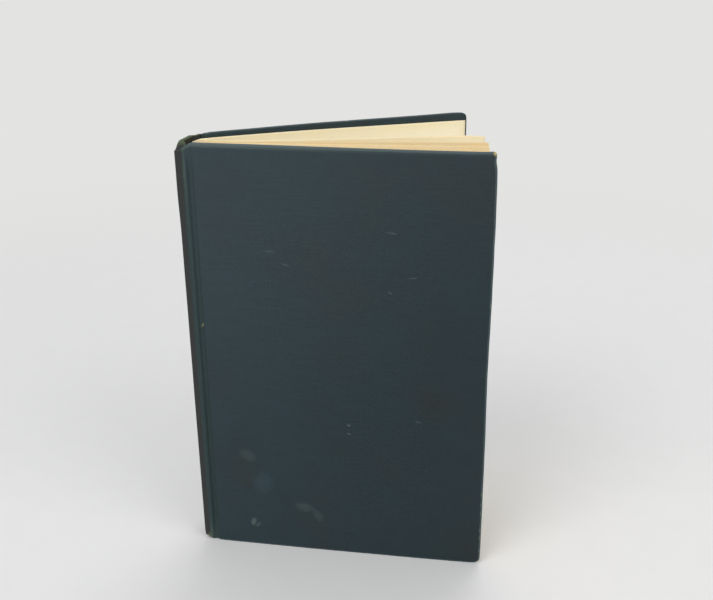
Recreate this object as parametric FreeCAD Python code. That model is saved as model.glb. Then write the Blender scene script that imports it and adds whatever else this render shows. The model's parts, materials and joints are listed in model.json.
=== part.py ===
import FreeCAD, Part
import math
import os

# Cloth-bound hardback book that stands on its tail edges. The front cover is
# shut and the back cover stands ajar. Millimetres, +Z from tail to head, the
# front cover faces -Y and the spine -X.
#
# Every piece is drawn in plan, looking down on the head, and carried up the
# book. In plan, x = 0 is the joint edge of the front cover, y = 0 its outer
# face and z = 0 the surface that the book stands on. The last step moves all
# pieces so that the origin is the middle of the foot of the whole book.
#
# A path in plan is a list of (x, y, radius) corners. Its ends have radius 0.

# Sheet goods
CLOTH = 0.4
BOARD = 2.2
PAPER = 0.2
MULL = 0.3
LINING = 0.2
SPINE_CARD = 0.6

# Covers: the case in its cloth, before the book was warped and worn
COVER_WIDTH = 135.0
COVER_HEIGHT = 210.0
TURN_IN = 15.0
CORNER_RADIUS = 2.0
RIM_RADIUS = 0.35
FRONT_WARP = 0.5
BACK_WARP = 1.5
BACK_AJAR = 29.1
PLAY = 0.3

# Leaves
PAGE_WIDTH = 136.6
PAGE_HEIGHT = 203.2
SECTIONS = 10
LEAVES_IN_SECTION = 16
LEAF = 0.115
FORE_EDGE_THICKNESS = 30.2
FIRST_SECTION_SPREAD = 0.68
FRONT_LEAF_BOW = 0.4
BACK_LEAF_BOW = 0.3
BACK_LEAVES_DRAWN_IN = 1.4
SECTION_STEPS = (0.0, 0.075, 0.15)
FOLD_BULGE = 0.25

# Joint between each cover and the spine
JOINT_WIDTH = 4.0
JOINT_DEPTH = 2.2
JOINT_SLOPE = 0.6
CLOTH_GAP = 0.3
HINGE_FROM_COVER = 1.2

# Spine: a stiff strip under the cloth, pushed towards the front cover
SPINE_STAND_OUT = 7.55
SPINE_LEAN = 0.45
SPINE_BULGE = 0.35
SPINE_FRONT_CORNER = 1.0
SPINE_BACK_CORNER = 19.7
SPINE_CORNER_RADIUS = 1.0
RIB_TOP = 0.45
RIB_WIDTH = 1.7
RIB_FALL = 0.1
CARD_MARGIN = 1.1

# Back of the leaves, rounded, and what is glued to it
BLOCK_BACK = 5.3
BACK_ROUNDING = 1.1
SHOULDER_FRONT = 2.6
SHOULDER_BACK = 20.6
SHOULDER_START = 1.0
MULL_SHORT = 14.0
LINING_SHORT = 14.0
LINING_MARGIN = 1.4
MULL_ON_BOARD = 25.0

# Endpapers
FRONT_MARGINS = {"fore": 1.3, "head_joint": 2.4, "head_fore": 2.4, "tail": 2.6}
BACK_MARGINS = {"fore": 1.3, "head_joint": 1.6, "head_fore": 2.8, "tail": 2.6}
LEAF_TIPPED = 5.0
LEAF_BEND_RADIUS = 20.0
LEAF_STANDS_OFF = 14.6
LEAF_CURL = 1.2

# How paths are drawn: an arc takes up nearly all of a bowed run, or leaves
# straight ends for a rounded corner or the edge of another piece
FULL_BOW = 0.94
BOW_WITH_ENDS = 0.75
BEYOND = 50.0
SAME = 1e-4

# Worked out from the sizes above
COVER_THICKNESS = BOARD + 2 * CLOTH
PASTEDOWN_FACE = COVER_THICKNESS + PAPER
BLOCK_FRONT = PASTEDOWN_FACE + PLAY + PAPER
SPINE_THICKNESS = SECTIONS * LEAVES_IN_SECTION * LEAF
BLOCK_REAR = BLOCK_FRONT + SPINE_THICKNESS
BOOK_THICKNESS = BLOCK_REAR + BLOCK_FRONT
PAGE_FOOT = (COVER_HEIGHT - PAGE_HEIGHT) / 2
FORE_EDGE = PAGE_WIDTH - BLOCK_BACK
HINGE_X = -HINGE_FROM_COVER


# Paths and faces in plan


def turn_at(path, i):
    """Headings into and out of corner i, and the signed turn between them."""
    (ax, ay, _), (bx, by, _), (cx, cy, _) = path[i - 1 : i + 2]
    before = math.atan2(by - ay, bx - ax)
    after = math.atan2(cy - by, cx - bx)
    turn = math.remainder(after - before, 2 * math.pi)
    return before, after, turn


def edges(path):
    """Lines and tangent arcs along a path."""
    found = []
    start = FreeCAD.Vector(path[0][0], path[0][1], 0)
    for i in range(1, len(path) - 1):
        x, y, radius = path[i]
        if radius < SAME:
            corner = FreeCAD.Vector(x, y, 0)
            found.append(Part.LineSegment(start, corner).toShape())
            start = corner
            continue
        before, after, turn = turn_at(path, i)
        reach = radius * math.tan(abs(turn) / 2)
        arc_in = FreeCAD.Vector(x - reach * math.cos(before), y - reach * math.sin(before), 0)
        arc_out = FreeCAD.Vector(x + reach * math.cos(after), y + reach * math.sin(after), 0)
        rise = radius / math.cos(turn / 2) - radius
        middle = (before + after + math.copysign(math.pi, turn)) / 2
        if abs(after - before) > math.pi:
            middle += math.pi
        crest = FreeCAD.Vector(x + rise * math.cos(middle), y + rise * math.sin(middle), 0)
        found.append(Part.LineSegment(start, arc_in).toShape())
        found.append(Part.Arc(arc_in, crest, arc_out).toShape())
        start = arc_out
    found.append(Part.LineSegment(start, FreeCAD.Vector(path[-1][0], path[-1][1], 0)).toShape())
    return found


def beside(path, offset):
    """The parallel path, offset to the left of the direction of travel."""
    moved = []
    last = len(path) - 1
    for i, (x, y, radius) in enumerate(path):
        if i in (0, last):
            (ax, ay, _), (bx, by, _) = path[i - 1 : i + 1] if i else path[:2]
            along = math.atan2(by - ay, bx - ax)
            turn, reach = 0.0, offset
        else:
            before, _, turn = turn_at(path, i)
            along = before + turn / 2
            reach = offset / math.cos(turn / 2)
        side = radius - math.copysign(offset, turn) if turn else 0.0
        moved.append((x - reach * math.sin(along), y + reach * math.cos(along), side))
    return moved


def bow(start, end, sagitta, share=FULL_BOW):
    """The corner that bows a path between two points to its left by sagitta."""
    dx, dy = end[0] - start[0], end[1] - start[1]
    chord = math.hypot(dx, dy)
    sagitta /= 2 - share
    radius = (chord**2 / 4 + sagitta**2) / (2 * abs(sagitta))
    rise = math.copysign(chord / 2 * math.tan(math.asin(chord / 2 / radius)), sagitta)
    x = (start[0] + end[0]) / 2 - rise * dy / chord
    y = (start[1] + end[1]) / 2 + rise * dx / chord
    return (x, y, radius * share)


def closed_face(*paths):
    """The face enclosed by paths joined end to start."""
    loop = []
    for i, path in enumerate(paths):
        loop += edges(path)
        end, start = path[-1], paths[(i + 1) % len(paths)][0]
        if math.dist(end[:2], start[:2]) > SAME:
            loop += edges([end, start])
    return Part.Face(Part.Wire(loop))


def band(path, near, far):
    """The face between two parallels of one path."""
    return closed_face(beside(path, near), beside(path, far)[::-1])


def carried_up(face, low, high):
    """A plan face carried up from low to high, with its skin facing outwards."""
    solid = face.translated(FreeCAD.Vector(0, 0, low)).extrude(FreeCAD.Vector(0, 0, high - low))
    return solid if solid.Volume > 0 else solid.reversed()


def elevation(corners):
    """A prism through the whole thickness over a polygon of (x, z) corners."""
    points = [FreeCAD.Vector(x, -BEYOND, z) for x, z in corners]
    face = Part.Face(Part.makePolygon(points + points[:1]))
    return face.extrude(FreeCAD.Vector(0, BOOK_THICKNESS + 2 * BEYOND, 0))


def upright(x0, x1, z0, z1):
    """A prism through the whole thickness over a rectangle."""
    return elevation([(x0, z0), (x1, z0), (x1, z1), (x0, z1)])


def fused(shapes):
    """One solid from solids that touch or overlap."""
    return shapes[0].multiFuse(shapes[1:]).removeSplitter()


# Covers, drawn shut with the outer face at y = 0


def cover_line(warp):
    """Outer face of a cover from the hinge line to the fore edge."""
    foot = (-JOINT_SLOPE / 2, JOINT_DEPTH)
    lip = (JOINT_SLOPE / 2, 0.0)
    fore = (COVER_WIDTH, 0.0)
    return [
        (HINGE_X + CLOTH_GAP / 2, JOINT_DEPTH, 0),
        (*foot, 2 * CLOTH),
        (*lip, CLOTH + RIM_RADIUS),
        bow(lip, fore, -warp),
        (*fore, 0),
    ]


def face_line(warp):
    """The same outer face without its joint, straight on past both ends."""
    lip, middle, fore = cover_line(warp)[2:]
    before = math.atan2(middle[1] - lip[1], middle[0] - lip[0])
    dx, dy = BEYOND * math.cos(before), BEYOND * math.sin(before)
    return [(lip[0] - dx, lip[1] - dy, 0), middle, (fore[0] + dx, fore[1] - dy, 0)]


def layer(warp, near, far, outline):
    """Part of a cover between two depths, within an outline in elevation."""
    return carried_up(band(face_line(warp), near, far), 0, COVER_HEIGHT).common(outline)


def rounded_outline(inset, radius, joint_edge):
    """Elevation of a cover: square at the joint, rounded at the fore corners."""
    box = upright(joint_edge, COVER_WIDTH - inset, inset, COVER_HEIGHT - inset)
    corners = [e for e in box.Edges if e.Vertexes[0].X > COVER_WIDTH / 2 and is_along_y(e)]
    return box.makeFillet(radius, corners)


def is_along_y(edge):
    """Whether an edge runs straight through the thickness."""
    box = edge.BoundBox
    return box.XLength < SAME and box.ZLength < SAME


def cover_board(warp):
    """The stiff board inside a cover."""
    outline = rounded_outline(CLOTH, CORNER_RADIUS - CLOTH, JOINT_SLOPE / 2 + CLOTH)
    return layer(warp, CLOTH, CLOTH + BOARD, outline)


def window(inset):
    """Elevation of the bare inner side of a board, inside the turn-ins."""
    edge = TURN_IN + inset
    return upright(-BEYOND, COVER_WIDTH - edge, edge, COVER_HEIGHT - edge)


def cover_cloth(warp):
    """Cloth over a cover: outer side, joint, three wrapped edges and turn-ins."""
    outline = rounded_outline(0, CORNER_RADIUS, JOINT_SLOPE / 2 + CLOTH)
    wrap = layer(warp, 0, COVER_THICKNESS, outline)
    rim = [e for e in wrap.Edges if is_rim(e)]
    wrap = wrap.makeFillet(RIM_RADIUS, rim)
    inside = layer(warp, CLOTH + BOARD, COVER_THICKNESS, window(0))
    joint = closed_face(*joint_sides(warp, 0, CLOTH))
    doubled = closed_face(*joint_sides(warp, CLOTH, 2 * CLOTH))
    plies = [
        carried_up(joint, 0, COVER_HEIGHT),
        carried_up(doubled, 0, TURN_IN),
        carried_up(doubled, COVER_HEIGHT - TURN_IN, COVER_HEIGHT),
    ]
    return fused([wrap.cut(inside)] + plies).cut(cover_board(warp))


def is_rim(edge):
    """Whether an edge of a cover runs round its fore, head or tail side."""
    box = edge.BoundBox
    near = 2 * CORNER_RADIUS
    at_fore = box.XMin > COVER_WIDTH - near
    at_end = box.ZMax < near or box.ZMin > COVER_HEIGHT - near
    at_joint = box.XMax < near
    return (at_fore or at_end) and not at_joint and not is_along_y(edge)


def joint_sides(warp, near, far):
    """The two sides of the cloth in a joint, up to where the board begins."""
    line = cover_line(warp)
    lip, middle = line[2], line[3]
    along = math.atan2(middle[1] - lip[1], middle[0] - lip[0])
    reach = 2 * CLOTH / math.cos(along)
    end = (lip[0] + reach * math.cos(along), lip[1] + reach * math.sin(along), 0)
    path = line[:3] + [end]
    return beside(path, near), beside(path, far)[::-1]


def mull_outline(grow):
    """Elevation of the gauze that is glued to a board."""
    foot = TURN_IN + MULL_SHORT / 2 - grow
    return upright(HINGE_X + CLOTH_GAP / 2, MULL_ON_BOARD + grow, foot, COVER_HEIGHT - foot)


def mull_flange(warp):
    """The gauze's flap on a board."""
    return layer(warp, CLOTH + BOARD, CLOTH + BOARD + MULL, mull_outline(0))


def pastedown(warp, margins):
    """Paper on the inside of a cover. It steps over the turn-ins and the gauze."""
    joint = HINGE_X + CLOTH_GAP / 2
    fore = COVER_WIDTH - margins["fore"]
    outline = elevation(
        [
            (joint, margins["tail"]),
            (fore, margins["tail"]),
            (fore, COVER_HEIGHT - margins["head_fore"]),
            (joint, COVER_HEIGHT - margins["head_joint"]),
        ]
    )
    bare = CLOTH + BOARD
    sheet = layer(warp, bare, PASTEDOWN_FACE, outline)
    over_gauze = mull_outline(PAPER)
    recess = layer(warp, bare + PAPER, PASTEDOWN_FACE, window(PAPER)).cut(over_gauze)
    gauze_recess = layer(warp, bare + MULL + PAPER, PASTEDOWN_FACE, over_gauze)
    return sheet.cut([cover_cloth(warp), mull_flange(warp), recess, gauze_recess])


def to_back(shape):
    """A piece of a shut front cover, moved to the back cover and swung ajar."""
    middle = FreeCAD.Vector(0, BOOK_THICKNESS / 2, 0)
    moved = shape.mirror(middle, FreeCAD.Vector(0, 1, 0))
    hinge = FreeCAD.Vector(HINGE_X, BOOK_THICKNESS, 0)
    return moved.rotated(hinge, FreeCAD.Vector(0, 0, 1), BACK_AJAR)


# Leaves


def fold_point(share):
    """A point on the rounded back of the leaves, from the front shoulder."""
    half = (SHOULDER_BACK - SHOULDER_FRONT) / 2
    radius = (half**2 + BACK_ROUNDING**2) / (2 * BACK_ROUNDING)
    angle = math.asin(half / radius) * (2 * share - 1)
    x = -BLOCK_BACK + radius * (1 - math.cos(angle))
    y = (SHOULDER_FRONT + SHOULDER_BACK) / 2 + radius * math.sin(angle)
    return x, y


def fore_edge_point(share):
    """A point on the fore edge. The last sections are fanned widest."""
    spread = FIRST_SECTION_SPREAD * share + (1 - FIRST_SECTION_SPREAD) * share**2
    drawn = BACK_LEAVES_DRAWN_IN * share**3
    return FORE_EDGE - drawn, BLOCK_FRONT + FORE_EDGE_THICKNESS * spread


def between_sections(share):
    """The line where two sections meet, from the back to the fore edge."""
    x, y = fold_point(share)
    knee = (-SHOULDER_START, BLOCK_FRONT + SPINE_THICKNESS * share)
    fore = fore_edge_point(share)
    sag = FRONT_LEAF_BOW + (BACK_LEAF_BOW - FRONT_LEAF_BOW) * share
    return [(x, y, 0), (*knee, SHOULDER_START), bow(knee, fore, -sag), (*fore, 0)]


def text_block():
    """All the leaves: folded sections, fanned at the fore edge, as one solid."""
    slices = []
    for i in range(SECTIONS):
        near = between_sections(i / SECTIONS)
        far = between_sections((i + 1) / SECTIONS)
        fold = [far[0], bow(far[0], near[0], -FOLD_BULGE), near[0]]
        face = closed_face(near, far[::-1], fold)
        step = SECTION_STEPS[i % len(SECTION_STEPS)]
        slices.append(carried_up(face, PAGE_FOOT + step, PAGE_FOOT + PAGE_HEIGHT - step))
    return fused(slices)


def front_flyleaf():
    """The free half of the front endpaper, flat against the leaves."""
    knee, middle, fore = between_sections(0)[1:]
    along = math.atan2(middle[1] - knee[1], middle[0] - knee[0])
    reach = SHOULDER_START / 2
    start = (knee[0] + reach * math.cos(along), knee[1] + reach * math.sin(along), 0)
    return carried_up(band([start, middle, fore], -PAPER, 0), PAGE_FOOT, PAGE_FOOT + PAGE_HEIGHT)


def back_flyleaf():
    """The free half of the back endpaper, tipped on at the back and bowed away."""
    knee, _, fore = between_sections(1)[1:]
    along = math.atan2(fore[1] - knee[1], fore[0] - knee[0])
    lift = PLAY / 2
    start = (knee[0], knee[1] + lift, 0)
    bend = (knee[0] + LEAF_TIPPED * math.cos(along), knee[1] + lift + LEAF_TIPPED * math.sin(along))
    end = (fore[0] - BACK_LEAVES_DRAWN_IN, fore[1] + LEAF_STANDS_OFF, 0)
    path = [start, (*bend, LEAF_BEND_RADIUS), bow(bend, end, LEAF_CURL, BOW_WITH_ENDS), end]
    return carried_up(band(path, 0, PAPER), PAGE_FOOT, PAGE_FOOT + PAGE_HEIGHT)


# Spine


def spine_line():
    """Outer side of the cloth round the spine, from the front hinge line."""
    groove = HINGE_X - CLOTH_GAP / 2
    rib_near = HINGE_X - JOINT_WIDTH / 2 + JOINT_SLOPE / 2
    front = (-SPINE_STAND_OUT, SPINE_FRONT_CORNER)
    back = (-SPINE_STAND_OUT + SPINE_LEAN, SPINE_BACK_CORNER)
    shoulder = (-JOINT_WIDTH + SHOULDER_START / 2, BOOK_THICKNESS - JOINT_DEPTH - CLOTH / 2)
    return [
        (groove, JOINT_DEPTH, 0),
        (rib_near + JOINT_SLOPE, JOINT_DEPTH, 2 * CLOTH),
        (rib_near, RIB_TOP, 2 * CLOTH),
        (rib_near - RIB_WIDTH, RIB_TOP - RIB_FALL, 2 * CLOTH),
        (*front, SPINE_CORNER_RADIUS),
        bow(front, back, SPINE_BULGE, BOW_WITH_ENDS),
        (*back, SPINE_CORNER_RADIUS),
        (*shoulder, SPINE_CORNER_RADIUS),
        (HINGE_X, BOOK_THICKNESS - JOINT_DEPTH, 0),
    ]


def strip_line():
    """The stretch of the spine's outer side that the stiff strip backs."""
    front, middle, back = spine_line()[4:7]
    before = math.atan2(middle[1] - front[1], middle[0] - front[0])
    after = math.atan2(back[1] - middle[1], back[0] - middle[0])
    start = (front[0] + CARD_MARGIN * math.cos(before), front[1] + CARD_MARGIN * math.sin(before), 0)
    end = (back[0] - CARD_MARGIN * math.cos(after), back[1] - CARD_MARGIN * math.sin(after), 0)
    return [start, middle, end]


def spine_inlay():
    """The stiff strip inside the spine of the case."""
    face = band(strip_line(), -CLOTH, -CLOTH - SPINE_CARD)
    return carried_up(face, CLOTH, COVER_HEIGHT - CLOTH)


def spine_cloth():
    """Cloth over the spine, turned in over the strip at head and tail."""
    outer = band(spine_line(), 0, -CLOTH)
    over_strip = band(strip_line(), -CLOTH, -2 * CLOTH - SPINE_CARD)
    behind_strip = band(strip_line(), -CLOTH - SPINE_CARD, -2 * CLOTH - SPINE_CARD)
    plies = [carried_up(outer, 0, COVER_HEIGHT)]
    for low, high, fold in (
        (0, TURN_IN, 0),
        (COVER_HEIGHT - TURN_IN, COVER_HEIGHT, COVER_HEIGHT - CLOTH),
    ):
        plies.append(carried_up(behind_strip, low, high))
        plies.append(carried_up(over_strip, fold, fold + CLOTH))
    return fused(plies)


def back_line():
    """Outer side of the gauze round the back of the leaves."""
    x, y = fold_point(0)
    front = (x - MULL - FOLD_BULGE, y - MULL - PLAY)
    back_x, back_y = fold_point(1)
    back = (back_x - MULL - FOLD_BULGE, back_y + MULL)
    return [
        (HINGE_X - CLOTH_GAP / 2, JOINT_DEPTH + CLOTH, 0),
        (-SHOULDER_START - JOINT_WIDTH / 2, JOINT_DEPTH + CLOTH, MULL),
        (*front, MULL),
        bow(front, back, BACK_ROUNDING, BOW_WITH_ENDS),
        (*back, MULL),
        (HINGE_X, BLOCK_REAR + PAPER + MULL + PLAY, 0),
    ]


def spine_mull():
    """Gauze glued round the back of the leaves and over both shoulders."""
    foot = TURN_IN + MULL_SHORT / 2
    return carried_up(band(back_line(), 0, -MULL), foot, COVER_HEIGHT - foot)


def spine_lining():
    """Paper glued over the gauze, on the back alone."""
    front, middle, back = back_line()[2:5]
    before = math.atan2(middle[1] - front[1], middle[0] - front[0])
    after = math.atan2(back[1] - middle[1], back[0] - middle[0])
    start = (front[0] + LINING_MARGIN * math.cos(before), front[1] + LINING_MARGIN * math.sin(before), 0)
    end = (back[0] - LINING_MARGIN * math.cos(after), back[1] - LINING_MARGIN * math.sin(after), 0)
    foot = PAGE_FOOT + LINING_SHORT
    return carried_up(band([start, middle, end], LINING, 0), foot, COVER_HEIGHT - foot)


# The whole book


def pieces():
    """Every piece by name, in plan coordinates."""
    return {
        "front_board": cover_board(FRONT_WARP),
        "front_cover_cloth": cover_cloth(FRONT_WARP),
        "front_mull_flange": mull_flange(FRONT_WARP),
        "front_pastedown": pastedown(FRONT_WARP, FRONT_MARGINS),
        "front_flyleaf": front_flyleaf(),
        "text_block": text_block(),
        "spine_mull": spine_mull(),
        "spine_lining": spine_lining(),
        "spine_inlay": spine_inlay(),
        "spine_cloth": spine_cloth(),
        "back_flyleaf": back_flyleaf(),
        "back_board": to_back(cover_board(BACK_WARP)),
        "back_cover_cloth": to_back(cover_cloth(BACK_WARP)),
        "back_mull_flange": to_back(mull_flange(BACK_WARP)),
        "back_pastedown": to_back(pastedown(BACK_WARP, BACK_MARGINS)),
    }


def main():
    os.makedirs("parts", exist_ok=True)
    book = pieces()
    box = Part.makeCompound(list(book.values())).optimalBoundingBox(False)
    origin = FreeCAD.Vector((box.XMin + box.XMax) / 2, (box.YMin + box.YMax) / 2, box.ZMin)
    for name, shape in book.items():
        shape.translated(-origin).exportStep(f"parts/{name}.step")
    print("origin in plan", tuple(round(value, 4) for value in origin))
    print("front hinge", (round(HINGE_X - origin.x, 4), round(-origin.y, 4)))
    print("back hinge", (round(HINGE_X - origin.x, 4), round(BOOK_THICKNESS - origin.y, 4)))


main()
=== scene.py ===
"""A cloth-bound hardback book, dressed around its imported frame.

Plan coordinates: x runs from the joint edge of the front cover to the fore edge, y from the
outer face of the front cover to the back, z from tail to head. Everything is in metres.
"""

import json
import math

import bmesh
import bpy
import numpy as np
from bpy.props import FloatProperty, FloatVectorProperty, IntProperty, PointerProperty
from mathutils import Matrix, Vector


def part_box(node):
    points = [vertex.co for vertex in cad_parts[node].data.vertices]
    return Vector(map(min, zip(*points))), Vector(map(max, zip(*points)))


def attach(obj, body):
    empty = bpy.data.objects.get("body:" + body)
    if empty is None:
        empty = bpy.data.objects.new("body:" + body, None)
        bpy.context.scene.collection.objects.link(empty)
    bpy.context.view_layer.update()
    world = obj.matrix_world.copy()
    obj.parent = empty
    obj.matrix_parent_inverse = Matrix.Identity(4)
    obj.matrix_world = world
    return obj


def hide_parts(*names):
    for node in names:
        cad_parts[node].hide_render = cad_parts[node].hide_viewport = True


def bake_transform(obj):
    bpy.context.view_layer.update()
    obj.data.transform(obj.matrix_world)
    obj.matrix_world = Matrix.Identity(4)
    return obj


bl_info = {
    "name": "Cloth-bound book",
    "version": (1, 0, 0),
    "blender": (4, 5, 0),
    "location": "3D View > Sidebar > Book",
    "description": "Book cloth, folded leaves, endpapers and worn edges for a hardback book",
    "category": "Add Mesh",
}

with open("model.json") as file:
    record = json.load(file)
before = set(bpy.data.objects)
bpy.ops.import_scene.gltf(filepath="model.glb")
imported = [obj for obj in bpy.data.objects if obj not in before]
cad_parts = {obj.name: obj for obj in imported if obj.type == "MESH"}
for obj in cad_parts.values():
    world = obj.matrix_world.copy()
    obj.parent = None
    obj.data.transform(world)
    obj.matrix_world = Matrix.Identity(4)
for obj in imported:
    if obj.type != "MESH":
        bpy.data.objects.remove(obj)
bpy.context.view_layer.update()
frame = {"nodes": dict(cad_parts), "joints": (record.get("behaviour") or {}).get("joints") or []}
MM = 0.001

HINGES = {joint["name"]: np.array(joint["pos_m"]) for joint in frame["joints"]}
FRONT_HINGE = HINGES["front_cover_hinge"]
BACK_HINGE = HINGES["back_cover_hinge"]
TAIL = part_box("front_cover_cloth")[0].z
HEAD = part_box("front_cover_cloth")[1].z
PAGE_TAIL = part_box("text_block")[0].z
PAGE_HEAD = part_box("text_block")[1].z
BOOK_THICKNESS = float(BACK_HINGE[1] - FRONT_HINGE[1])


# Sizes and colours that a user would change


def length(name, description, millimetres):
    """A size in metres, written in millimetres."""
    return FloatProperty(
        name=name, description=description, default=millimetres * MM, unit="LENGTH", precision=5
    )


def linear(red, green, blue):
    """Linear colour from 0 to 255 screen values."""
    values = np.array([red, green, blue]) / 255
    curved = ((values + 0.055) / 1.055) ** 2.4
    return tuple(float(v) for v in np.where(values < 0.04045, values / 12.92, curved))


def colour(name, description, *screen):
    """A colour, written in 0 to 255 screen values."""
    return FloatVectorProperty(
        name=name, description=description, default=linear(*screen), subtype="COLOR", min=0, max=1
    )


class CaseSizes(bpy.types.PropertyGroup):
    """Sizes of the cloth case."""

    cover_width: length("Cover width", "From the joint edge of a board to its fore edge", 135)
    cloth: length("Cloth", "Thickness of the book cloth", 0.4)
    board: length("Cover thickness", "A board with its cloth on both sides", 3.0)
    turn_in: length("Turn-in", "How far the cloth is turned in over a board", 12)
    corner: length("Corner radius", "Roundness of a cover's two fore corners", 2.0)
    rim: length("Edge radius", "Roundness of a cover's edges", 0.7)
    hinge_setback: length("Hinge setback", "From the joint edge of a board to its hinge line", 1.2)
    joint_depth: length("Joint depth", "How deep the groove beside the spine is", 1.6)
    joint_at_ends: FloatProperty(
        name="Joint at its ends",
        description="Share of the groove's depth that is left at head and tail",
        default=0.4,
        min=0,
        max=1,
    )
    front_warp: length("Front warp", "How far the front cover bows outwards", 0.5)
    back_warp: length("Back warp", "How far the back cover bows outwards", 1.5)
    back_ajar: FloatProperty(
        name="Back cover ajar",
        description="How far the back cover stands open",
        default=math.radians(29.1),
        subtype="ANGLE",
    )


class LeafSizes(bpy.types.PropertyGroup):
    """Sizes of the leaves and endpapers."""

    sections: IntProperty(name="Sections", description="Folded sections in the book", default=10, min=1)
    sheets: IntProperty(name="Sheets", description="Folded sheets in a section", default=8, min=1)
    leaf: length("Leaf", "Thickness of one leaf", 0.09)
    pitch: length("Leaf pitch", "From one leaf to the next at the back", 0.115)
    fan: length("Fore-edge thickness", "Thickness of all the leaves at the fore edge", 30.2)
    toning: length("Toning", "How far in from its edges the paper has browned", 7)
    endpaper: length("Endpaper", "Thickness of the endpapers", 0.2)


class Finish(bpy.types.PropertyGroup):
    """Colours of the finishes."""

    cloth: colour("Cloth", "Faded blue-black book cloth", 42, 58, 63)
    cloth_blue: colour("Bloom", "Bluish patches in the cloth", 42, 60, 68)
    cloth_brown: colour(
        "Browned cloth", "Cloth darkened by handling and light, as on the spine", 50, 51, 48
    )
    cloth_green: colour("Sheltered cloth", "Cloth in the joints, where it kept its green", 47, 63, 64)
    worn_cloth: colour("Worn cloth", "Cloth rubbed pale along the covers' edges", 84, 98, 100)
    worn_spine: colour("Worn spine", "Cloth rubbed green at the spine's ends and ribs", 92, 108, 78)
    bare_board: colour("Bare board", "Board and threads that show through worn cloth", 176, 160, 104)
    endpaper: colour("Endpaper", "Cream endpaper", 255, 248, 224)
    endpaper_toned: colour("Toned endpaper", "Endpaper near its browned edges", 246, 230, 188)
    leaf: colour("Leaf", "Face of a leaf", 246, 234, 200)
    leaf_edge: colour("Leaf edge", "Trimmed edges of the leaves, browned by light", 240, 216, 166)
    gauze: colour("Gauze", "Starched gauze on the back of the leaves", 206, 188, 148)
    lining: colour("Lining", "Brown paper on the back of the leaves", 160, 130, 88)
    card: colour("Board", "Board and spine strip inside the cloth", 150, 128, 92)
    floor: colour("Floor", "Pale floor and backdrop", 225, 224, 223)


def cases():
    """The sizes of the cloth case, as the scene holds them."""
    return bpy.context.scene.case_sizes


def papers():
    """The sizes of the leaves and endpapers, as the scene holds them."""
    return bpy.context.scene.leaf_sizes


# Curves and surfaces


def unit(vector):
    """A vector scaled to length 1."""
    return vector / np.linalg.norm(vector)


def rounded_path(corners, spacing=0.05 * MM):
    """Points of a path in plan whose corners (x, y, radius) are rounded.

    Each corner becomes the arc tangent to both runs: it starts and ends at
    radius * tan(turn / 2) from the corner and keeps its radius round one centre.
    """
    corners = np.asarray(corners, float)
    found = [corners[:1, :2]]
    for before, corner, after in zip(corners[:-2], corners[1:-1], corners[2:]):
        inward = unit(corner[:2] - before[:2])
        outward = unit(after[:2] - corner[:2])
        turn = math.atan2(inward[0] * outward[1] - inward[1] * outward[0], inward @ outward)
        radius = corner[2]
        start = corner[:2] - radius * math.tan(abs(turn) / 2) * inward
        spoke = math.copysign(radius, turn) * np.array([inward[1], -inward[0]])
        steps = np.linspace(0, turn, max(3, int(radius * abs(turn) / spacing)))
        arc = np.outer(np.cos(steps), spoke) + np.outer(np.sin(steps), [-spoke[1], spoke[0]])
        found.append(start - spoke + arc)
    found.append(corners[-1:, :2])
    return np.concatenate(found)


def distances(points):
    """Distance along a path to each of its points."""
    return np.concatenate([[0], np.cumsum(np.linalg.norm(np.diff(points, axis=0), axis=1))])


def along(points, where):
    """Points at given distances along a path."""
    walked = distances(points)
    return np.stack([np.interp(where, walked, points[:, i]) for i in (0, 1)], -1)


def left_of(points, where, reach=0.15 * MM):
    """Unit vectors to the left of a path at given distances along it."""
    ahead = along(points, where + reach) - along(points, where - reach)
    ahead /= np.linalg.norm(ahead, axis=-1, keepdims=True)
    return np.stack([-ahead[..., 1], ahead[..., 0]], -1)


def smoothstep(start, end, value):
    """0 before start, 1 after end, and 3t^2 - 2t^3 between them."""
    t = np.clip((value - start) / (end - start), 0, 1)
    return t * t * (3 - 2 * t)


def bump(value, centre, width):
    """A bell, exp(-(distance / width)^2)."""
    return np.exp(-(((value - centre) / width) ** 2))


def waves(seed, x, y, size, count=7):
    """A gentle random relief from -1 to 1: the mean of plane waves about size long."""
    draw = np.random.default_rng(seed)
    total = np.zeros(np.broadcast(x, y).shape)
    for _ in range(count):
        heading = draw.uniform(0, math.pi)
        turns = 2 * math.pi / (size * draw.uniform(0.7, 1.6))
        start = draw.uniform(0, 2 * math.pi)
        total += np.sin(turns * (x * math.cos(heading) + y * math.sin(heading)) + start)
    return total / count


def graded(low, high, fine, coarse, margin):
    """Stations from low to high, closer together within a margin of both ends."""
    near = np.arange(low, low + margin, fine)
    far = high - near[::-1] + low
    middle = np.linspace(near[-1], far[0], max(2, int((far[0] - near[-1]) / coarse) + 1))
    return np.concatenate([near, middle[1:-1], far])


def close_then_wide(fine, margin, end, rows):
    """Stations from 0 to the end: fine steps up to a margin, and then a few wide ones."""
    near = np.arange(0, margin, fine)
    return np.concatenate([near, np.linspace(near[-1], end, rows + 1)[1:]])


HEAD_SUNK = 3.0 * MM
TAIL_RAISED = 1.7 * MM


def head_wear(x, y, z):
    """How far the head of the spine and of the front joint has sunk at each point.

    It is deepest at the spine's front corner and fades towards the board, towards the
    back and down from the head.
    """
    across = smoothstep(0.5 * MM, -7.2 * MM, x)
    back = 1 - smoothstep(1.5 * MM, 9 * MM, y)
    return HEAD_SUNK * across * back * smoothstep(HEAD - 8 * MM, HEAD, z)


def rib_rubbed(z):
    """How much the ribs beside the spine are rubbed: most at head and tail."""
    return 0.42 + 0.25 * smoothstep(HEAD - 60 * MM, HEAD, z) + 0.4 * bump(z, TAIL, 12 * MM)


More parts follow.
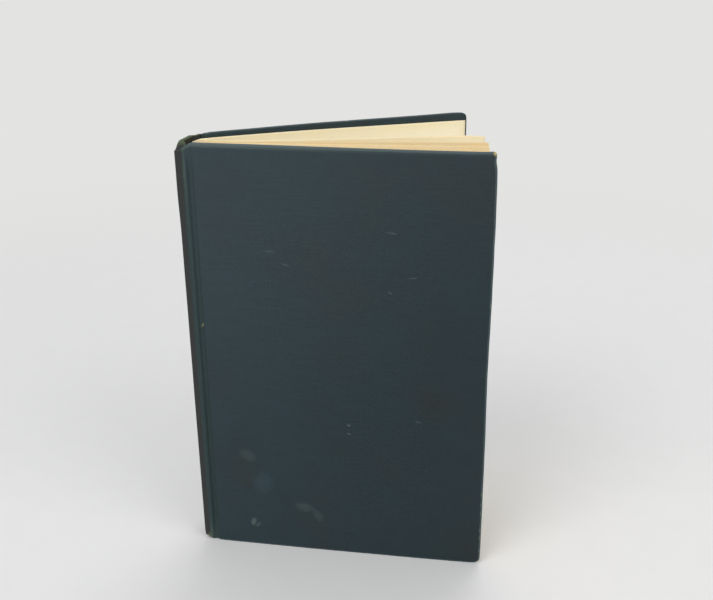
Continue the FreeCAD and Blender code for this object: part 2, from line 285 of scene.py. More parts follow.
def tail_wear(x, y, z):
    """How far the tail of the spine's front corner is rounded upwards."""
    across = smoothstep(-3.0 * MM, -7.4 * MM, x)
    back = 1 - smoothstep(3 * MM, 14 * MM, y)
    return TAIL_RAISED * across * back * smoothstep(TAIL + 5 * MM, TAIL, z)


def to_row(x, y, z):
    """From plan to the row frame, whose place is read from the front hinge."""
    setback = cases().hinge_setback
    x, y, z = np.broadcast_arrays(x, y, z)
    return np.stack([x + FRONT_HINGE[0] + setback, y + FRONT_HINGE[1], z], -1)


def swung(x, y, angle):
    """Plan points turned about the back hinge line, each by its own angle."""
    pivot = -cases().hinge_setback
    dx, dy = x - pivot, y - BOOK_THICKNESS
    return (
        pivot + dx * np.cos(angle) - dy * np.sin(angle),
        BOOK_THICKNESS + dx * np.sin(angle) + dy * np.cos(angle),
    )


def opened(x, y):
    """Plan points of the shut back cover, moved to where it stands ajar."""
    return swung(x, BOOK_THICKNESS - y, hinge_turn(x))


def link(mesh, name):
    """A piece of the scene from a mesh."""
    piece = bpy.data.objects.new(name, mesh)
    bpy.context.scene.collection.objects.link(piece)
    return piece


def add_attribute(mesh, name, values):
    """Gives each point of a mesh a number or a vector."""
    values = np.asarray(values, np.float32)
    is_vector = values.ndim > 1 and values.shape[-1] == 3
    kind, field = ("FLOAT_VECTOR", "vector") if is_vector else ("FLOAT", "value")
    mesh.attributes.new(name, kind, "POINT").data.foreach_set(field, values.ravel())


def grid_faces(rows, columns, closed=False):
    """Corner numbers of the quads of a grid, row after row."""
    index = np.arange(rows * columns).reshape(rows, columns)
    if closed:
        index = np.concatenate([index, index[:1]])
    quads = [index[:-1, :-1], index[1:, :-1], index[1:, 1:], index[:-1, 1:]]
    return np.stack(quads, -1).reshape(-1, 4)


def mesh_from(points, quads, turned_over=False, **attributes):
    """A smooth mesh from an array of points and an array of quads."""
    mesh = bpy.data.meshes.new("surface")
    points = points.reshape(-1, 3)
    quads = quads[:, ::-1] if turned_over else quads
    mesh.from_pydata(points.tolist(), [], quads.tolist())
    for name, values in attributes.items():
        add_attribute(mesh, name, values.reshape(len(points), -1).squeeze())
    mesh.shade_smooth()
    return mesh


def merge_doubles(mesh, distance=1e-6):
    """Joins the points that a corner fold brings together."""
    work = bmesh.new()
    work.from_mesh(mesh)
    bmesh.ops.remove_doubles(work, verts=work.verts, dist=distance)
    bmesh.ops.dissolve_degenerate(work, edges=work.edges, dist=distance)
    work.to_mesh(mesh)
    work.free()
    mesh.shade_smooth()


def thicken(piece, thickness, offset=-1.0):
    """Gives a surface a live wall: behind it, or half to each side with offset 0."""
    solid = piece.modifiers.new("thickness", "SOLIDIFY")
    solid.thickness = thickness
    solid.offset = offset


def sheet_piece(name, surface, thickness, turned_over=False, offset=-1.0, **attributes):
    """A piece from a surface (x, y, z) in plan, with its live wall."""
    mesh = mesh_from(to_row(*surface), grid_faces(*surface[0].shape), turned_over, **attributes)
    piece = link(mesh, name)
    thicken(piece, thickness, offset)
    return piece


# Cloth of the covers

# The rib, where a joint starts to bend and where it ends, how deep the shoulder lies, how far the
# sheets inside lean at the spine, where they start, and the strip's ends along the spine's cloth
RIB = np.array([-3.9, 0.40]) * MM
BLEND_START = -2.9 * MM
LIP = 0.3 * MM
SHOULDER_DEPTH = 2.4 * MM
FRONT_LEAN = -11.0 * MM
BACK_LEAN = 3.3 * MM
FOLD = -3.1 * MM
STRIP_START = 4.4 * MM
STRIP_END = 6.4 * MM


def cover_path(start):
    """Outer side of a shut cover in plan, from its first points across the groove to the fore edge."""
    sizes = cases()
    depth = sizes.joint_depth
    groove = [(-0.6 * MM, depth, 0.9 * MM), (0.45 * MM, 0, sizes.rim), (sizes.cover_width, 0, 0)]
    return rounded_path([*start, *groove])


def front_start():
    """The rib beside the spine and the wall that drops from it into the groove."""
    return [(*RIB, 0), (-3.1 * MM, 0.45 * MM, 1.0 * MM), (-2.2 * MM, cases().joint_depth, 0.9 * MM)]


def back_start():
    """The shoulder behind the spine, just below the groove's floor."""
    return [(BLEND_START, SHOULDER_DEPTH, 0), (-2.0 * MM, cases().joint_depth + 0.1 * MM, 0.8 * MM)]


def turned_over_edge(beyond, thickness, radius):
    """How far out and how deep a sheet lies, a distance beyond where it starts to turn.

    It goes a quarter turn round the near edge, straight across the thickness, a
    quarter turn round the far edge, and then back on the inner side.
    """
    radius = np.minimum(radius, thickness / 2)
    quarter = math.pi / 2 * radius
    across = thickness - 2 * radius
    first = np.clip(beyond, 0, quarter)
    second = np.clip(beyond - quarter, 0, across)
    third = np.clip(beyond - quarter - across, 0, quarter)
    back = np.maximum(beyond - 2 * quarter - across, 0)
    out = radius * np.sin(first / radius) + radius * (np.cos(third / radius) - 1) - back
    deep = radius * (1 - np.cos(first / radius)) + second + radius * np.sin(third / radius)
    return out, deep


def bowed(x, y, warp):
    """Plan points of a shut cover with its outward bow: y - warp * (1 - u^2) along the board."""
    width = cases().cover_width
    return y - warp * (1 - (2 * (x - LIP) / (width - LIP) - 1) ** 2) * (x > LIP)


def cover_surface(start, warp):
    """The cloth of a shut cover as a surface of two lengths, a across and b up.

    On the outer face the two lengths are the place itself. Past the start of an
    edge they wrap round it, with a square of (a, b) bent into a quarter disc at
    each fore corner, so that the corner is round. The inner side of the joint is
    level with the board's. Returns x, y, z, how much each point is rubbed, and the
    lengths, which carry the pattern.
    """
    sizes = cases()
    path = cover_path(start)
    lip_at = float(np.interp(LIP, path[:, 0], distances(path)))
    width = distances(path)[-1]
    height = HEAD - TAIL
    reach = sizes.corner - sizes.rim
    wrap = math.pi * sizes.rim + sizes.board - 2 * sizes.rim + sizes.turn_in
    start_a, start_b = width - sizes.corner, height / 2 - sizes.corner
    rim = close_then_wide(0.24 * MM, 5.6 * MM, reach + wrap, 7)
    joint = np.arange(0, lip_at + 0.8 * MM, 0.2 * MM)
    face = np.linspace(joint[-1], start_a, 92)[1:]
    a = np.concatenate([joint, face, start_a + rim[1:]])
    half = np.concatenate([np.linspace(0, start_b, 72), start_b + rim[1:]])
    b = np.concatenate([-half[::-1], half[1:]])
    a, b = np.meshgrid(a, b, indexing="ij")

    # p and q are the lengths past the starts of the fore edge and of the head or tail edge
    p, q = a - start_a, np.abs(b) - start_b
    furthest = np.maximum(np.maximum(p, q), 1e-12)
    beyond = furthest - reach
    on_face = along(path, np.minimum(a, start_a))
    in_groove = smoothstep(-2.2 * MM, -1.5 * MM, on_face[..., 0])
    level = np.maximum(sizes.board - 2 * sizes.cloth - on_face[..., 1], 0)
    thickness = 2 * sizes.cloth + level * in_groove
    out, depth = turned_over_edge(np.maximum(beyond, 0), thickness, sizes.rim)
    radial = np.where(beyond > 0, reach + out, furthest)
    depth = np.where(beyond > 0, depth, 0)
    inner = np.where(beyond > 0, np.minimum(radial, 0), 0)
    radial = np.maximum(radial, 0)
    share = np.clip(np.minimum(p, q) / furthest, 0, 1)
    angle = np.where(p >= q, math.pi / 4 * share, math.pi / 2 - math.pi / 4 * share)
    shrunk_a = lip_at + (a - lip_at) * (1 + inner / (start_a - lip_at))
    beside_a = np.where(a > lip_at, shrunk_a, a)
    beside_b = np.abs(b) * (1 + inner / start_b)
    at_a = np.where(p > 0, start_a + radial * np.cos(angle) + inner, beside_a)
    at_b = np.where(q > 0, start_b + radial * np.sin(angle) + inner, beside_b)
    z = TAIL + height / 2 + np.sign(b) * at_b

    points = along(path, at_a)
    from_ends = height / 2 - np.abs(z - TAIL - height / 2)
    shallow = (1 - sizes.joint_at_ends) * (1 - smoothstep(0, 14 * MM, from_ends))
    shallow = shallow * smoothstep(start[0][0], start[0][0] + 1 * MM, points[..., 0])
    across = left_of(path, at_a)
    across = across * (1 - in_groove[..., None]) + np.array([0.0, 1.0]) * in_groove[..., None]
    x = points[..., 0] + depth * across[..., 0]
    y = points[..., 1] * (1 - shallow * (1 - depth / thickness)) + depth * across[..., 1]
    edge = np.minimum(start_a + sizes.corner - at_a, start_b + sizes.corner - at_b)
    rubbed = bump(np.maximum(edge, 0), 0, 1.1 * MM) * (depth < sizes.board * 0.9)
    lay = np.stack([a - lip_at, b + height / 2, depth], -1) / MM
    return x, bowed(x, y, warp), z, rubbed, lay


def board_slab(warp):
    """The board inside a shut cover, as rings: out over one face, round the edge, back on the other.

    Each ring is the board's outline, a rectangle with rounded corners in equal steps,
    drawn towards the middle by the ring's share.
    """
    sizes = cases()
    skin = sizes.cloth + 0.04 * MM
    joint_edge, radius = 1.1 * MM, 1.2 * MM
    low = np.array([joint_edge, TAIL + skin])
    high = np.array([sizes.cover_width - skin, HEAD - skin])
    middle, half = (low + high) / 2, (high - low) / 2
    signs = [(0, -1), (1, -1), (1, 1), (-1, 1), (-1, -1), (0, -1)]
    corners = [(*(middle + half * sign), radius) for sign in np.array(signs)]
    outline = rounded_path(corners)
    outline = along(outline, np.linspace(0, distances(outline)[-1], 401)[:-1])
    outline_x, outline_z = outline.T
    share = np.array([0, 0.1, 0.25, 0.45, 0.65, 0.8, 0.9, 0.96, 0.985, 0.997, 1.0])
    depth = np.repeat([skin, sizes.board - skin], len(share))[:, None]
    share = np.concatenate([share, share[::-1]])[:, None]
    x = middle[0] + share * (outline_x - middle[0])
    z = middle[1] + share * (outline_z - middle[1])
    return x, bowed(x, depth + 0 * x, warp), z


def worn_front(x, y, z):
    """Wear of the front cover: a bumped head corner, a notch under it, a hollow fore edge."""
    width = cases().cover_width
    fore = smoothstep(width - 30 * MM, width, x)
    corner = bump(x, width, 3.2 * MM) * bump(z, HEAD, 2.6 * MM)
    notch = bump(x, width, 2.5 * MM) * bump(z, HEAD - 3.8 * MM, 2.4 * MM)
    foot = bump(x, width, 3.4 * MM) * bump(z, TAIL, 2.2 * MM)
    hollow = 0.42 * MM * (1 - bump(z, 106 * MM, 28 * MM) - bump(z, HEAD, 20 * MM))
    swell = 0.5 * MM * (1 - smoothstep(8 * MM, 110 * MM, x)) * smoothstep(HEAD - 7 * MM, HEAD, z)
    moved_x = x + fore * hollow - 0.2 * MM * corner - 0.55 * MM * notch - 0.3 * MM * foot
    moved_x = moved_x + 0.1 * MM * waves(4, z, 0 * z, 14 * MM) * smoothstep(width - 4 * MM, width, x)
    moved_z = z + 0.2 * MM * corner + 0.8 * MM * foot + swell - head_wear(x, y, z)
    moved_z = moved_z + tail_wear(x, y, z)
    moved_y = y + 0.4 * MM * corner + 0.12 * MM * waves(3, x, z, 60 * MM) * smoothstep(LIP, 12 * MM, x)
    return moved_x, moved_y, moved_z


def worn_back(x, y, z):
    """Wear of the back cover: rounded corners, and a fore edge drawn in by its bow."""
    width = cases().cover_width
    corner = bump(x, width, 4 * MM) * (bump(z, HEAD, 3 * MM) + bump(z, TAIL, 3 * MM))
    drawn = 2.2 * MM * smoothstep(50 * MM, width, x)
    moved_x = x - drawn - 0.25 * MM * corner
    sunk = 0.35 * MM * smoothstep(30 * MM, 110 * MM, x) * smoothstep(60 * MM, HEAD, z)
    moved_z = z - sunk - 0.35 * MM * corner * np.sign(z - 100 * MM)
    moved_z = moved_z + 0.1 * MM * waves(8, x, 0 * x, 22 * MM) * smoothstep(HEAD - 3 * MM, HEAD, z)
    moved_y = y + 0.15 * MM * waves(7, x, z, 60 * MM) * smoothstep(LIP, 12 * MM, x)
    return moved_x, moved_y, moved_z


def hinge_turn(x):
    """How far a point of a joint has turned with the back cover, at rest."""
    return cases().back_ajar * smoothstep(BLEND_START, LIP, x)


def blend_front(piece):
    """Bakes a piece's place into its mesh.

    The ends of the front joint, from the cover towards the block, are found but no bend is made.
    """
    low = to_row(BLEND_START, 0.0, 0.0)
    high = to_row(LIP, 0.0, 0.0)
    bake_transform(piece)


def blend_back(piece, start, end):
    """Bakes a piece's place into its mesh; the ends of the back joint, along the line of the open
    cover, are found but no bend is made.
    """
    ajar = cases().back_ajar
    heading = np.array([math.cos(ajar), math.sin(ajar)])
    x, y = swung(np.array(end[0]), np.array(BOOK_THICKNESS - end[1]), ajar)
    first = np.array([start[0], BOOK_THICKNESS - start[1]])
    last = first + heading * float((np.array([x, y]) - first) @ heading)
    low = to_row(*first, 0.0)
    high = to_row(*last, 0.0)
    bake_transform(piece)


# Cloth of the spine


def spine_path():
    """Outer side of the spine's cloth, from the front rib round to the back joint."""
    shoulder = BOOK_THICKNESS - SHOULDER_DEPTH
    return rounded_path(
        [
            (*RIB, 0),
            (-4.6 * MM, 0.35 * MM, 0.8 * MM),
            (-8.0 * MM, 0.8 * MM, 1.1 * MM),
            (-8.0 * MM, 10.3 * MM, 60 * MM),
            (-7.1 * MM, 19.7 * MM, 1.4 * MM),
            (-3.5 * MM, shoulder, 1.2 * MM),
            (BLEND_START, shoulder, 0),
        ]
    )


def worn_spine(x, y, z, a, depth, width):
    """Wear of the spine: its head is pushed in, sunk and crumpled, and its tail is tucked in."""
    on_back = smoothstep(2.5 * MM, 5 * MM, a) * (1 - smoothstep(width - 3 * MM, width - 0.5 * MM, a))
    near_head = smoothstep(HEAD - 9 * MM, HEAD, z)
    pushed = 0.3 * MM * near_head * bump(a, width - 4.5 * MM, 3.5 * MM)
    pushed = pushed - 0.4 * MM * smoothstep(HEAD - 42 * MM, HEAD - 20 * MM, z)
    tucked = 0.3 * MM * smoothstep(TAIL + 6 * MM, TAIL, z) * bump(a, 5 * MM, 4 * MM)
    crumple = 0.22 * MM * waves(12, a, depth, 5 * MM) * near_head
    moved_z = z - head_wear(x, y, z) + tail_wear(x, y, z) + (crumple - 0.25 * MM * near_head) * on_back
    moved_x = x + (pushed + tucked + 0.1 * MM * waves(11, a, z, 30 * MM)) * on_back
    return moved_x, y, moved_z


def spine_strip():
    """The outer face of the stiff strip inside the spine's cloth, worn as the cloth is."""
    path = spine_path()
    width = distances(path)[-1]
    inset = 0.9 * MM
    across = np.linspace(STRIP_START, width - STRIP_END, 60)
    up = graded(TAIL + inset, HEAD - inset, 0.5 * MM, 5 * MM, 12 * MM)
    a, z = np.meshgrid(across, up, indexing="ij")
    depth = cases().cloth + 0.06 * MM + 0 * a
    points = along(path, a) - depth[..., None] * left_of(path, a)
    return worn_spine(points[..., 0], points[..., 1], z, a, depth, width)


def spine_surface():
    """The cloth of the spine as a surface of two lengths, a round and b up.

    At head and tail it turns over the stiff strip, whose thickness it takes
    there. A thicker cap stands at the head's front corner, with a notch in it.
    Returns what cover_surface does.
    """
    sizes = cases()
    path = spine_path()
    width, height = distances(path)[-1], HEAD - TAIL
    radius, end_zone = 0.65 * MM, 14 * MM
    a = np.linspace(0, width, 112)
    rim = close_then_wide(0.18 * MM, 7.5 * MM, math.pi * radius + 3 * MM + sizes.turn_in, 6)
    plain_part = np.linspace(0, height / 2 - end_zone, 40)
    near_end = np.linspace(height / 2 - end_zone, height / 2 - radius, 26)
    half = np.concatenate([plain_part, near_end[1:], height / 2 - radius + rim[1:]])
    b = np.concatenate([-half[::-1], half[1:]])
    a, b = np.meshgrid(a, b, indexing="ij")
    on_strip = smoothstep(STRIP_START - 1.2 * MM, STRIP_START, a)
    on_strip = on_strip * (1 - smoothstep(width - STRIP_END, width - STRIP_END + 1.2 * MM, a))
    plain = 2 * sizes.cloth + (0.6 * MM + 0.5 * MM * (b > 0)) * on_strip
    from_corner = np.abs(a - 3.6 * MM)
    cap = 2.7 * MM * smoothstep(0, 1.2 * MM, a) * (1 - smoothstep(8 * MM, 13 * MM, a)) * (b > 0)
    cap = np.minimum(cap, 0.2 * MM + 0.9 * from_corner)
    beyond = np.maximum(np.abs(b) - (height / 2 - radius), 0)
    out, depth = turned_over_edge(beyond, plain + cap, radius)
    behind = np.maximum(beyond - math.pi * radius - (plain + cap - 2 * radius), 0)
    depth = depth - cap * smoothstep(0, 2.2 * MM, behind)
    at_b = np.where(beyond > 0, height / 2 - radius + out, np.abs(b))
    z = TAIL + height / 2 + np.sign(b) * at_b
    points = along(path, a) - depth[..., None] * left_of(path, a)
    x, y, z = worn_spine(points[..., 0], points[..., 1], z, a, depth, width)

    at_ends = bump(np.maximum(np.minimum(HEAD - z, z - TAIL), 0), 0, 1.3 * MM)
    at_corners = np.maximum(bump(a, 3.9 * MM, 0.6 * MM), bump(a, width - 5.6 * MM, 0.8 * MM))
    at_cap = bump(z, HEAD, 4.2 * MM) * (1 - smoothstep(7 * MM, 11 * MM, y))
    at_foot = bump(z, TAIL, 4.5 * MM) * bump(a, 1.2 * MM, 2.4 * MM)
    at_rib = rib_rubbed(z) * bump(a, 0.2 * MM, 0.8 * MM)
    rubbed = np.max([at_ends, 0.4 * at_corners, 0.7 * at_cap, 1.1 * at_foot, at_rib], axis=0)
    lay = np.stack([a, b + height / 2, depth], -1) / MM
    return x, y, z, rubbed, lay


# Leaves


def leaf_lines(share, across):
    """Mid-lines of leaves in plan.

    share is a leaf's place in the thickness, from 0 at the front to 1 at the back, and across
    runs from -1 at the sewn fold through 0 at the shoulder to 1 at the fore edge. The fore edge
    is fanned: its place is a mix of share and share squared. Each leaf bows by a parabola.
    """
    leaves = papers()
    thickness = leaves.pitch * leaves.sections * leaves.sheets * 2
    front = (BOOK_THICKNESS - thickness) / 2
    half, rounding = 9.0 * MM, 1.1 * MM
    radius = (half**2 + rounding**2) / (2 * rounding)
    angle = math.asin(half / radius) * (2 * share - 1)
    fold_x = -5.3 * MM + radius * (1 - np.cos(angle))
    fold_y = 11.6 * MM + radius * np.sin(angle)
    knee_x, knee_y = -1.0 * MM, front + thickness * share
    fore_x = 131.3 * MM - 1.4 * MM * share**3
    fore_y = front + leaves.fan * (0.68 * share + 0.32 * share**2)
    sag = 0.4 * MM - 0.1 * MM * share
    u, v = np.clip(across, 0, 1), np.clip(-across, 0, 1)
    x = knee_x + (fore_x - knee_x) * u + (fold_x + 0.55 * MM - knee_x) * v
    y = knee_y + (fore_y - knee_y) * u + (fold_y - knee_y) * v - 4 * sag * u * (1 - u)
    return x, y


# The gap that shows between the leaves lies behind this one
LAST_BEFORE_GAP = 148.5


def shell_quads(rows, columns):
    """Quads of one leaf as a closed shell: its near side, its far side and its four edges."""
    near, far = np.arange(2 * rows * columns).reshape(2, rows, columns)
    loops = [
        (near[:-1, :-1], near[1:, :-1], near[1:, 1:], near[:-1, 1:]),
        (far[:-1, :-1], far[:-1, 1:], far[1:, 1:], far[1:, :-1]),
        (near[:-1, 0], far[:-1, 0], far[1:, 0], near[1:, 0]),
        (near[:-1, -1], near[1:, -1], far[1:, -1], far[:-1, -1]),
        (near[0, :-1], near[0, 1:], far[0, 1:], far[0, :-1]),
        (near[-1, :-1], far[-1, :-1], far[-1, 1:], near[-1, 1:]),
    ]
    return np.concatenate([np.stack([part.ravel() for part in loop], -1) for loop in loops])


def leaf_mesh():
    """All the leaves: folded sheets nested in sections, each a thin closed shell.

    A sheet's path runs from the fore edge of its front leaf to the fold, round half an ellipse
    there, and back to the fore edge of its back leaf. The path is carried up and given the
    thickness of a leaf, half to each side.
    """
    leaves = papers()
    per_section = 2 * leaves.sheets
    count = leaves.sections * per_section
    section, sheet = np.divmod(np.arange(leaves.sections * leaves.sheets), leaves.sheets)
    first = (section * per_section + sheet)[:, None]
    last = (section * per_section + per_section - 1 - sheet)[:, None]
    near_fold = [0.06, 0.02, -0.03, -0.12, -0.3, -0.6, -0.85, -1]
    across = np.concatenate([np.linspace(1, 0.12, 12), near_fold])[None]
    x1, y1 = leaf_lines((first + 0.5) / count, across)
    x2, y2 = leaf_lines((last + 0.5) / count, across[:, ::-1])
    turn = np.linspace(0, math.pi, 9)[None, 1:-1]
    start, end = np.stack([x1[:, -1], y1[:, -1]], -1), np.stack([x2[:, 0], y2[:, 0]], -1)
    middle, half = (start + end) / 2, (end - start) / 2
    bulge = 0.8 * MM * (1 - sheet / leaves.sheets)
    xf = middle[:, :1] - bulge[:, None] * np.sin(turn) - half[:, :1] * np.cos(turn)
    yf = middle[:, 1:] - half[:, 1:] * np.cos(turn)
    x = np.concatenate([x1, xf, x2], 1)
    y = np.concatenate([y1, yf, y2], 1)
    number = np.concatenate([first + 0 * x1, (first + last) / 2 + 0 * xf, last + 0 * x2], 1)
    flat = np.concatenate([across, -1 - 0 * turn, across[:, ::-1]], 1) + 0 * x
    fore = np.clip(flat, 0, 1)

    draw = np.random.default_rng(21)
    trim = draw.normal(0, 0.05 * MM, (count + 1,))
    behind_gap = smoothstep(LAST_BEFORE_GAP, LAST_BEFORE_GAP + 1, number)
    parted = 1.2 * MM * behind_gap * (1.2 * fore * (1 - fore) + fore)
    sheet_wave = draw.uniform(0, 2 * math.pi, len(section))[:, None]
    y = y + parted + 0.03 * MM * np.sin(5 * fore + sheet_wave) * fore
    x = x + trim[np.clip(number.astype(int), 0, count)] * fore**8

    untrimmed = np.abs(draw.normal(0, 0.03 * MM, len(section)))[:, None]
    step = (section % 3)[:, None] * 0.075 * MM + untrimmed
    rise = np.array([0, 0.003, 0.012, 0.035, 0.12, 0.5, 0.88, 0.965, 0.988, 0.997, 1])
    low, high = PAGE_TAIL + step, PAGE_HEAD - step
    z = (low + (high - low) * rise)[:, None, :] + 0 * x[..., None]
    direction = np.stack([np.gradient(x, axis=1), np.gradient(y, axis=1)], -1)
    direction /= np.linalg.norm(direction, axis=-1, keepdims=True)
    side = np.stack([-direction[..., 1], direction[..., 0]], -1) * leaves.leaf / 2
    place = 12 * MM * number[..., None] / count
    cockle = 0.22 * MM * waves(5, z, place, 70 * MM) * fore[..., None] ** 2
    shells = []
    for sign in (-1, 1):
        shell_x = x[..., None] + sign * side[..., :1]
        shell_y = y[..., None] + sign * side[..., 1:] + cockle
        shells.append(to_row(shell_x, shell_y, z))
    rows, columns = x.shape[1], len(rise)
    points = np.stack(shells, 1)
    first_points = np.arange(len(section)) * 2 * rows * columns
    quads = (shell_quads(rows, columns)[None] + first_points[:, None, None]).reshape(-1, 4)
    from_ends = np.minimum(z - low[..., None], high[..., None] - z)
    from_fore = ((1 - flat) * 131 * MM)[..., None]
    toned = np.exp(-np.maximum(np.minimum(from_ends, from_fore), 0) / leaves.toning)
    toned = np.stack([toned, toned], 1)
    leaf_number = np.stack([number[..., None] + 0 * z] * 2, 1)
    mesh = mesh_from(points, quads, toned=toned, leaf_number=leaf_number)
    mesh.set_sharp_from_angle(angle=math.radians(50))
    return mesh


# Endpapers and gauze


def inner_sheet(warp, low_x, high_x, margins, depth, step_at, lean):
    """A sheet on the inner side of a shut cover, from the fold at the block to the board.

    Its face lies at a depth from the cover's outer plane, and sinks by 0.2 mm where the cloth's
    turn-ins end under it. Left of the joint it follows the block's shoulder or the spine, by a
    parabola that leaves the plane by lean at 4 mm.
    margins are (tail, head at the joint, head at the fore edge).
    """
    sizes = cases()
    joint_end = 3 * MM
    x = np.concatenate([np.arange(low_x, joint_end, 0.25 * MM), np.linspace(joint_end, high_x, 90)])
    share = np.clip(x / high_x, 0, 1)
    tail = TAIL + margins[0]
    head = HEAD - margins[1] + (margins[1] - margins[2]) * share
    head = head - 1.0 * MM * smoothstep(-1.0 * MM, -6.0 * MM, x)
    rise = graded(0, 1, 0.004, 0.02, 0.05)
    z = tail + (head - tail)[:, None] * rise[None]
    x = x[:, None] + 0 * z
    inset = np.minimum(np.minimum(z - TAIL, HEAD - z), sizes.cover_width - x)
    sunk = 0.22 * MM * smoothstep(step_at - 0.7 * MM, step_at + 0.9 * MM, inset)
    sunk = sunk * smoothstep(0, joint_end, x)
    joint = 0.25 * MM * (1 - smoothstep(-1.4 * MM, 1.5 * MM, x))
    joint = joint + lean * (np.maximum(-1.8 * MM - x, 0) / (4.0 * MM)) ** 2
    y = depth + joint - sunk + 0.05 * MM * waves(31, x, z, 34 * MM) * smoothstep(0, 9 * MM, x)
    border = np.minimum(np.minimum(z - tail, head[:, None] - z), high_x - x)
    return x, bowed(x, y, warp), z, np.exp(-np.maximum(border, 0) / papers().toning)


def back_leaf_path():
    """The free back endpaper in plan, from the gutter to its curled fore edge."""
    return rounded_path(
        [
            (-1.0 * MM, 22.25 * MM, 0),
            (4.5 * MM, 22.6 * MM, 18 * MM),
            (38 * MM, 29.9 * MM, 400 * MM),
            (88 * MM, 41.6 * MM, 300 * MM),
            (120.6 * MM, 48.95 * MM, 9 * MM),
            (127.9 * MM, 48.3 * MM, 0),
        ]
    )


def free_leaf(path, seed):
    """A free endpaper carried up from its path in plan, with a slight lean from tail to head."""
    total = distances(path)[-1]
    where = np.linspace(0, total, 120)
    margin = 0.2 * MM
    points, side = along(path, where), left_of(path, np.clip(where, margin, total - margin))
    rise = graded(0, 1, 0.004, 0.04, 0.03)
    z = PAGE_TAIL + (PAGE_HEAD - PAGE_TAIL) * rise[None] + 0 * where[:, None]
    free = (where / total)[:, None] ** 2
    push = 0.35 * MM * waves(seed, z, where[:, None], 90 * MM) * free
    x = points[:, :1] + side[:, :1] * push
    y = points[:, 1:] + side[:, 1:] * push
    border = np.minimum(np.minimum(z - PAGE_TAIL, PAGE_HEAD - z), (total - where)[:, None])
    return x, y, z, np.exp(-np.maximum(border, 0) / papers().toning)


# Shader groups: each puts out masks, values, colours or normals


class Tree:
    """A short way to write a node tree: each method adds a node and returns its output."""

    def __init__(self, tree):
        self.tree = tree

    def node(self, kind, **settings):
        """A node of a kind, with its settings."""
        made = self.tree.nodes.new(kind)
        for name, value in settings.items():
            setattr(made, name, value)
        return made

    def wire(self, socket, value):
        """Links an output to a socket, or sets a plain value on it."""
        if isinstance(value, bpy.types.NodeSocket):
            self.tree.links.new(value, socket)
        else:
            socket.default_value = value

    def math(self, operation, a, b=0.0, c=0.0, clamp=False):
        """One operation on numbers."""
        made = self.node("ShaderNodeMath", operation=operation, use_clamp=clamp)
        for socket, value in zip(made.inputs, (a, b, c)):
            self.wire(socket, value)
        return made.outputs[0]

    def vector(self, operation, a, b=(0, 0, 0), scale=1.0):
        """One operation on vectors."""
        made = self.node("ShaderNodeVectorMath", operation=operation)
        self.wire(made.inputs[0], a)
        if operation == "SCALE":
            self.wire(made.inputs["Scale"], scale)
        elif operation != "LENGTH":
            self.wire(made.inputs[1], b)
        return made.outputs["Value"] if operation == "LENGTH" else made.outputs[0]

    def separate(self, vector):
        """The three parts of a vector."""
        made = self.node("ShaderNodeSeparateXYZ")
        self.wire(made.inputs[0], vector)
        return made.outputs

    def combine(self, x, y, z=0.0):
        """A vector from its parts."""
        made = self.node("ShaderNodeCombineXYZ")
        for socket, value in zip(made.inputs, (x, y, z)):
            self.wire(socket, value)
        return made.outputs[0]

    def noise(self, vector, scale, detail=3.0, roughness=0.55):
        """Noise from 0 to 1."""
        made = self.node("ShaderNodeTexNoise")
        self.wire(made.inputs["Vector"], vector)
        self.wire(made.inputs["Scale"], scale)
        self.wire(made.inputs["Detail"], detail)
        self.wire(made.inputs["Roughness"], roughness)
        return made.outputs["Fac"]

    def range(self, value, low, high, new_low=0.0, new_high=1.0):
        """Smooth step between two limits."""
        made = self.node("ShaderNodeMapRange", interpolation_type="SMOOTHSTEP")
        for socket, given in zip(made.inputs, (value, low, high, new_low, new_high)):
            self.wire(socket, given)
        return made.outputs[0]

    def mix(self, mask, a, b, blend="MIX"):
        """Mixes two colours by a mask."""
        made = self.node("ShaderNodeMix", data_type="RGBA", blend_type=blend)
        self.wire(made.inputs[0], mask)
        self.wire(made.inputs[6], a)
        self.wire(made.inputs[7], b)
        return made.outputs[2]

    def shaded(self, colour, level):
        """A colour multiplied by one level for all three of its parts."""
        return self.mix(1.0, colour, self.combine(level, level, level), "MULTIPLY")

    def attribute(self, name, output="Fac"):
        """A number or vector carried by the mesh."""
        made = self.node("ShaderNodeAttribute", attribute_type="GEOMETRY", attribute_name=name)
        return made.outputs[output]

    def position(self):
        """Object coordinates in millimetres."""
        return self.vector("SCALE", self.node("ShaderNodeTexCoord").outputs["Object"], scale=1 / MM)

    def bump(self, height, distance, strength=1.0, normal=None):
        """A normal bent by a height."""
        made = self.node("ShaderNodeBump")
        self.wire(made.inputs["Height"], height)
        self.wire(made.inputs["Distance"], distance)
        self.wire(made.inputs["Strength"], strength)
        if normal is not None:
            self.wire(made.inputs["Normal"], normal)
        return made.outputs[0]

    def group(self, tree, **inputs):
        """The outputs of a shared shader group."""
        made = self.node("ShaderNodeGroup", node_tree=tree)
        for name, value in inputs.items():
            self.wire(made.inputs[name.replace("_", " ")], value)
        return made.outputs


def new_group(name, inputs, outputs):
    """An empty shader group with named sockets, and its inner tree."""
    tree = bpy.data.node_groups.new(name, "ShaderNodeTree")
    for socket, kind, default in inputs:
        made = tree.interface.new_socket(socket, in_out="INPUT", socket_type="NodeSocket" + kind)
        if default is not None:
            made.default_value = default
    for socket, kind in outputs:
        tree.interface.new_socket(socket, in_out="OUTPUT", socket_type="NodeSocket" + kind)
    inside = Tree(tree)
    return tree, inside, inside.node("NodeGroupInput").outputs, inside.node("NodeGroupOutput").inputs


def cached(build):
    """Builds a shader group once and hands out the same one after that."""
    made = {}

    def get():
        if "tree" not in made:
            made["tree"] = build()
        return made["tree"]

    return get


